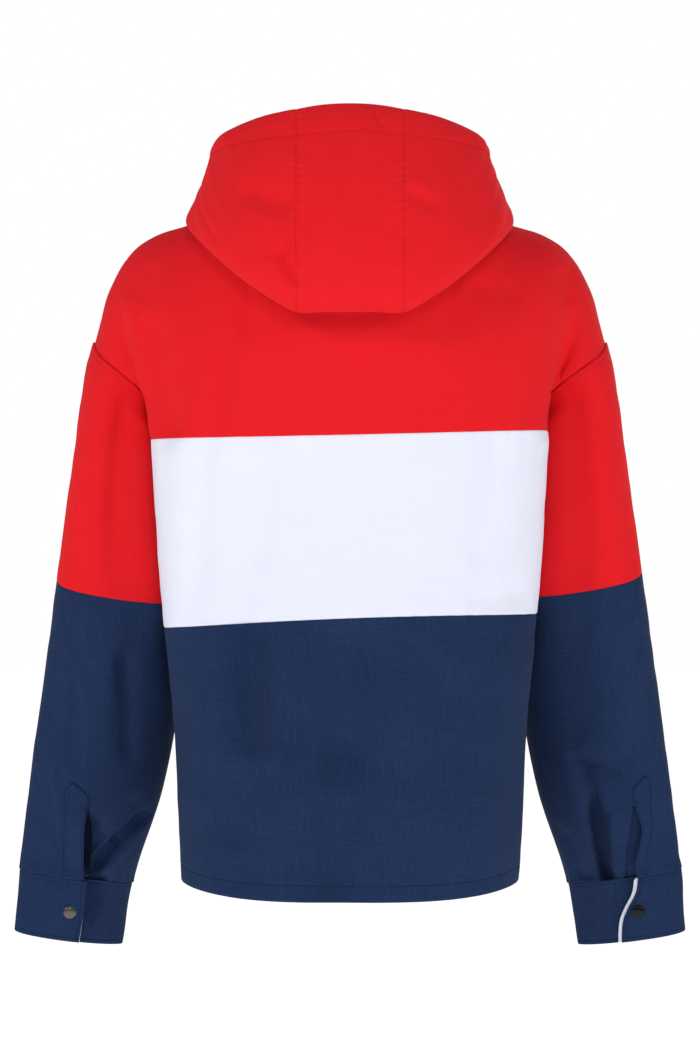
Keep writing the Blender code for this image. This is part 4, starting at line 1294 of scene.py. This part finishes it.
def build_sleeves():
    """Upper and lower sleeves, their openings and cuffs."""
    for side, word in SIDES:
        line = lambda at: sleeve(side, at, 0 * at + OUTER_TURN)
        at = spaced(line, ARMHOLE, COLOUR_SEAM[side])
        round_it = lambda turn: sleeve(side, 0 * turn + UPPER_MIDDLE, turn)
        columns = spaced(round_it, 0, OUTER_TURN, NEARLY_ROUND)[:-1]
        turn = columns[:, None]
        point = sleeve(side, at, turn)
        lift = np.maximum(sleeve_lift(at, turn), -WALL)
        relief = sleeve_relief(side, point, at, turn)
        stitch = ("low", SLEEVE_HEAD_STITCH)
        made = shell(f"sleeve_upper_{word}", point, -side, RED, ring=True, lift=lift, relief=relief,
                     thick=WALL + np.maximum(lift, 0), stitches=[stitch])
        first, last = SLEEVE_STITCH_TURNS
        shown = (columns > first) & (columns < last)
        threads(f"sleeve_head_stitches_{word}", [[grid[shown] for grid in row_at(made, *stitch)]], RED_THREAD_PAINTED_SHADE)
        stations = spaced(line, COLOUR_SEAM[side], SLIT_TOP, CUFF_SEAM, cell=FINE_CELL)
        edges = np.array([opening_turns(side, at) for at in stations]).T
        build_lower_sleeve(side, word, stations, edges)
        build_strip(side, word, stations, edges)
        build_binding(side, word, stations, edges[0])
        build_cuff(side, word)


def build_lower_sleeve(side, word, at, edges):
    """Lower sleeve with its slit."""
    slit, cover, _, sewn, _ = edges
    gap = np.linspace(0, 1, GAP_COLUMNS, endpoint=False)[:, None]
    under = np.linspace(0, 1, STRIP_CELLS, endpoint=False)[:, None]
    round_it = lambda turn: sleeve(side, 0 * turn + LOWER_MIDDLE, turn)
    rest = spaced(round_it, sewn[0], OUTER_TURN, slit[0] + 1, cell=FINE_CELL)[:-1, None]
    rest = (rest - sewn[0]) / (slit[0] + 1 - sewn[0])
    turn = np.concatenate([
        slit + (cover - slit) * gap,
        cover + (sewn - cover) * under,
        sewn + (slit + 1 - sewn) * rest,
    ])
    keep = np.ones((turn.shape[0], turn.shape[1] - 1), bool)
    keep[:GAP_COLUMNS, at[:-1] >= SLIT_TOP - PROBE] = False
    point = sleeve(side, at, turn)
    from_slit = (slit + 1 - turn) * SLEEVE_GIRTH
    roll = SLIT_ROLL[side] * np.exp(-((from_slit / SLIT_REACH) ** 2)) * slit_share(at)
    relief = sleeve_relief(side, point, at, turn % 1) - roll + seam_rise(side, at, turn)
    small = gathers("sleeve", turn % 1 * SLEEVE_GIRTH, (CUFF_SEAM - at) * STATION_LENGTH, side)
    relief = relief + small * ease((np.abs(turn - sewn + STRIP_BESIDE) - STRIP_CLEAR) / CLEAR_FADE)
    shell(f"sleeve_lower_{word}", point, -side, NAVY, ring=True, keep=keep, relief=relief, roll=CUFF_ROLL)


def build_strip(side, word, stations, edges):
    """The strip over the slit, with its pointed top and cross stitches."""
    _, _, middle, sewn, free = edges
    top = STRIP_POINT[side]
    apex = (middle[-1] - free[-1]) / (sewn[-1] - free[-1])
    share = course(STRIP_SPREAD)
    head = top + STRIP_SHOULDER * np.where(share < apex, 1 - share / apex, (share - apex) / (1 - apex))
    head, share = head[:, None], share[:, None]
    at = head + (CUFF_SEAM - head) * course((CUFF_SEAM - top) * STATION_LENGTH)
    at_free, at_sewn = np.interp(at, stations, free), np.interp(at, stations, sewn)
    turn = at_free + (at_sewn - at_free) * share
    from_cross = at - top - STRIP_CROSS
    cross = np.exp(-((from_cross * STATION_LENGTH / GROOVE_REACH) ** 2))
    curl = STRIP_CURL[side] * (1 - share) ** 2 * slit_share(at)
    relief = curl - 2 * GROOVE * cross + seam_rise(side, at, turn)
    lines = [("first", STRIP_STITCH), ("last", STRIP_STITCH)]
    made = shell(f"placket_{word}", sleeve(side, at, turn), -side, NAVY, lift=STRIP_LIFT, relief=relief,
                 thick=STRIP_WALL, stitches=lines)
    nearest = np.argmin(np.abs(from_cross), axis=1)
    lines.append(("low", stretch(made[0], 1)[np.arange(len(nearest)), nearest]))
    threads(f"placket_stitches_{word}", [row_at(made, *line) for line in lines], NAVY_THREAD_PAINTED_SHADE)


def build_binding(side, word, stations, slit):
    """The binding of the slit's other edge, under the strip."""
    at = spaced(lambda at: sleeve(side, at, 0 * at + BACK_TURN), SLIT_TOP + BINDING_START, BINDING_END)
    width = course(BINDING_WIDTH)[:, None]
    turn = np.interp(at, stations, slit) + width * BINDING_WIDTH / SLEEVE_GIRTH
    drop = BINDING_DEPTH[side] * np.sqrt(width) * ease((CUFF_SEAM - at) / BINDING_RISE)
    drop = drop + SLIT_ROLL[side] * slit_share(at) + WALL + LAP_DIP[side] * near_seam(at)
    shell(f"binding_{word}", sleeve(side, at, turn), -side, NAVY, lift=-drop)


def build_cuff(side, word):
    """Overlapped cuff, the facing that shows at its upper end, and the snap."""
    at = spaced(lambda at: sleeve(side, at, 0 * at + OUTER_TURN), CUFF_SEAM + CUFF_EASE, CUFF_HEM)
    start = np.array([cuff_start(side, station) for station in at])
    way = course((1 + CUFF_LAP) * SLEEVE_GIRTH, (CUFF_STITCH,))[:, None] * (1 + CUFF_LAP)
    point = sleeve(side, at, start + way)
    across, along = stretch(point, 0), stretch(point, 1)
    relief = gathers("cuff", across, along, side)
    relief = relief + WAVER * noise(across, at * STATION_LENGTH, CUFF_WAVER_SIZE, CUFF_SEED + side)
    flare = LAP_FLARE[side] * np.exp(-way * SLEEVE_GIRTH / LAP_FLARE_REACH)
    upper = ease((CUFF_HEM - at) / (CUFF_HEM - CUFF_SEAM))
    relief = relief + (flare - lap_dip(side, way)) * upper
    lift = cuff_lift(way)
    close = ease(1 - along / CLOSE_REACH)
    thick = CLOTH + (np.maximum(lift + CLOSE_DEPTH - CLOTH, 0) + relief) * close
    lines = [(edge, CUFF_STITCH) for edge in ("low", "high", "first")]
    made = shell(f"cuff_{word}", point, -side, NAVY, lift=lift, relief=relief, thick=thick, roll=CUFF_ROLL,
                 stitches=lines)
    threads(f"cuff_stitches_{word}", [row_at(made, *line) for line in lines], NAVY_THREAD_PAINTED_SHADE)
    shown = FACING_SHOWN[side] * ease((at - FACING_TOP[side]) / FACING_FADE)
    turn = start + (course(FACING_REACH)[:, None] * FACING_REACH - shown) / SLEEVE_GIRTH
    level = CUFF_LIFT - CUFF_SINK - CLOTH - SEAM_GAP
    shell(f"cuff_facing_{word}", sleeve(side, at, turn), -side, WHITE, lift=level, thick=FACING)
    at = CUFF_SNAP_STATION
    turn = turn_at(side, at, CUFF_SNAP[side])
    height = float(cuff_lift(turn - cuff_start(side, at))) + SNAP_SEAT
    at, turn = np.array([at]), np.array([turn])
    surface = lambda turn, at: sleeve(side, at, turn)
    normal = outward(surface, turn, at, -side, ANY, (ARMHOLE, CUFF_HEM))
    # the right cuff's snap gets the black copy of the snap metal, a painted dark reflection
    snap(f"snap_cuff_{word}", surface(turn, at)[0], normal[0], height, GUNMETAL if side < 0 else SNAP_PAINTED_DARK_REFLECTION)


def build_front_snaps():
    """Caps down the upper front."""
    centre = np.zeros(1)
    front = lambda up: skin("front", -1, 0 * up, up)
    for number, z in enumerate(FRONT_SNAPS):
        if z > front(centre)[0, 2]:
            up = np.array([solve(lambda up: front(up)[..., 2], (0, 1), z)])
            point, normal = front(up), front_normal(-1, centre, up)
        else:
            turn, z = np.array([-1.0]), np.array([z])
            point, normal = body(turn, z), outward(body, turn, z, 1)
        snap(f"snap_front_{number + 1}", point[0], normal[0], LAP_LIFT + SNAP_SEAT, GUNMETAL)


# ---- hood

HOOD_MIDDLE = 1.7  # where on the upper ply the hood's columns are spaced
HOOD_SEED = 85


def build_hood():
    """Centre strip and side panels, with the casing's stitches and the seams' gathers."""
    along = spaced(lambda along: hood(1, 0 * along, along), 0, 1, CASING_START, 2, cell=FINE_CELL)
    casing = int(np.argmin(np.abs(along - CASING_START)))
    line = lambda at: hood(1, at, 0 * at + HOOD_MIDDLE)
    middle = spaced(line, -HOOD_STRIP, HOOD_STRIP, cell=FINE_CELL)
    aside = spaced(line, HOOD_STRIP, 1)
    runs = []
    for word, side, at in [("centre", 1, middle), *[(word, side, aside) for side, word in SIDES]]:
        point = hood(side, at[:, None], along)
        x, down, from_seam = point[..., 0], stretch(point, 1), stretch(point, 0)
        if word == "centre":
            from_seam = np.minimum(from_seam, from_seam[-1:] - from_seam)
        relief = creased(HOOD_CREASES, x, point[..., 2]) + gathers("hood", down, from_seam)
        relief = relief + HOOD_SOFTNESS * uneven(x, down, HOOD_SEED) * ease((2 - along) * EDGE_FADE)
        at_casing = down[:, casing:casing + 1]
        relief = relief * ease((along - 1) * UNDER_FADE) + gathers("casing", x, down - at_casing)
        puff = np.sin(np.pi * np.clip((along - CASING_START) / (2 - CASING_START), 0, 1))
        width = down[:, -1:] - at_casing
        made = shell(f"hood_{word}", point, side, RED, lift=CASING_PUFF * puff, relief=relief,
                     stitches=[("high", width)])
        runs.append(row_at(made, "high", width[:, 0]))
    threads("casing_stitches", runs, RED_THREAD_PAINTED_SHADE)


# ---- studio

CAMERA_PLACE = (0, -3.0, -0.322)
CAMERA_LENS = 36 * 3.0 / 1.05  # the picture's height is 1.05 m at the jacket's middle
FLOOR_HEIGHT = -1.45  # a wearer's neck is about this far above the floor
FLOOR_SIZE = 40
WORLD_LIGHT = 0.26
LIGHT_AIM = (0, 0, -0.33)
LIGHTS = {  # place, size and power
    "key": ((-2.6, -2.3, 1.6), 0.9, 48),
    "fill": ((2.8, -2.1, 1.3), 1.2, 31),
    "camera_side": ((0.4, -3.7, 1.3), 0.8, 22),
    "front": ((0.8, 3.2, 0.8), 2.4, 26),
}


def build_studio():
    """Camera, pale floor, white surroundings and soft lights."""
    camera = put("camera", bpy.data.cameras.new("camera"))
    camera.location = CAMERA_PLACE
    camera.rotation_euler = (np.pi / 2, 0, 0)
    camera.data.lens = CAMERA_LENS
    camera.data.clip_end = 100
    scene = bpy.context.scene
    scene.camera = camera
    scene.view_settings.view_transform = "Standard"
    scene.world = bpy.data.worlds.new("studio")
    scene.world.use_nodes = True
    tree = scene.world.node_tree
    seen = add(tree, "ShaderNodeLightPath", {})["Is Camera Ray"]
    strength = math(tree, "MULTIPLY_ADD", seen, 1.0 - WORLD_LIGHT, WORLD_LIGHT)
    feed(tree, tree.nodes["Background"], {"Color": (1, 1, 1, 1), "Strength": strength})
    bpy.ops.mesh.primitive_plane_add(size=FLOOR_SIZE, location=(0, 0, FLOOR_HEIGHT))
    floor = bpy.context.object
    floor.name = "floor"
    pale, _, _ = material("pale_floor", None, {
        "Base Color": (0.9, 0.9, 0.9, 1), "Roughness": 0.9,
        "Emission Color": (1, 1, 1, 1), "Emission Strength": 0.8,
    })
    floor.data.materials.append(pale)
    for name, (place, size, power) in LIGHTS.items():
        light = put(name, bpy.data.lights.new(name, "AREA"))
        light.data.size = size
        light.data.energy = power
        light.location = place
        light.rotation_euler = (Vector(LIGHT_AIM) - Vector(place)).to_track_quat("-Z", "Y").to_euler()


build_studio()
build_body()
build_yoke()
build_sleeves()
build_front_snaps()
build_hood()
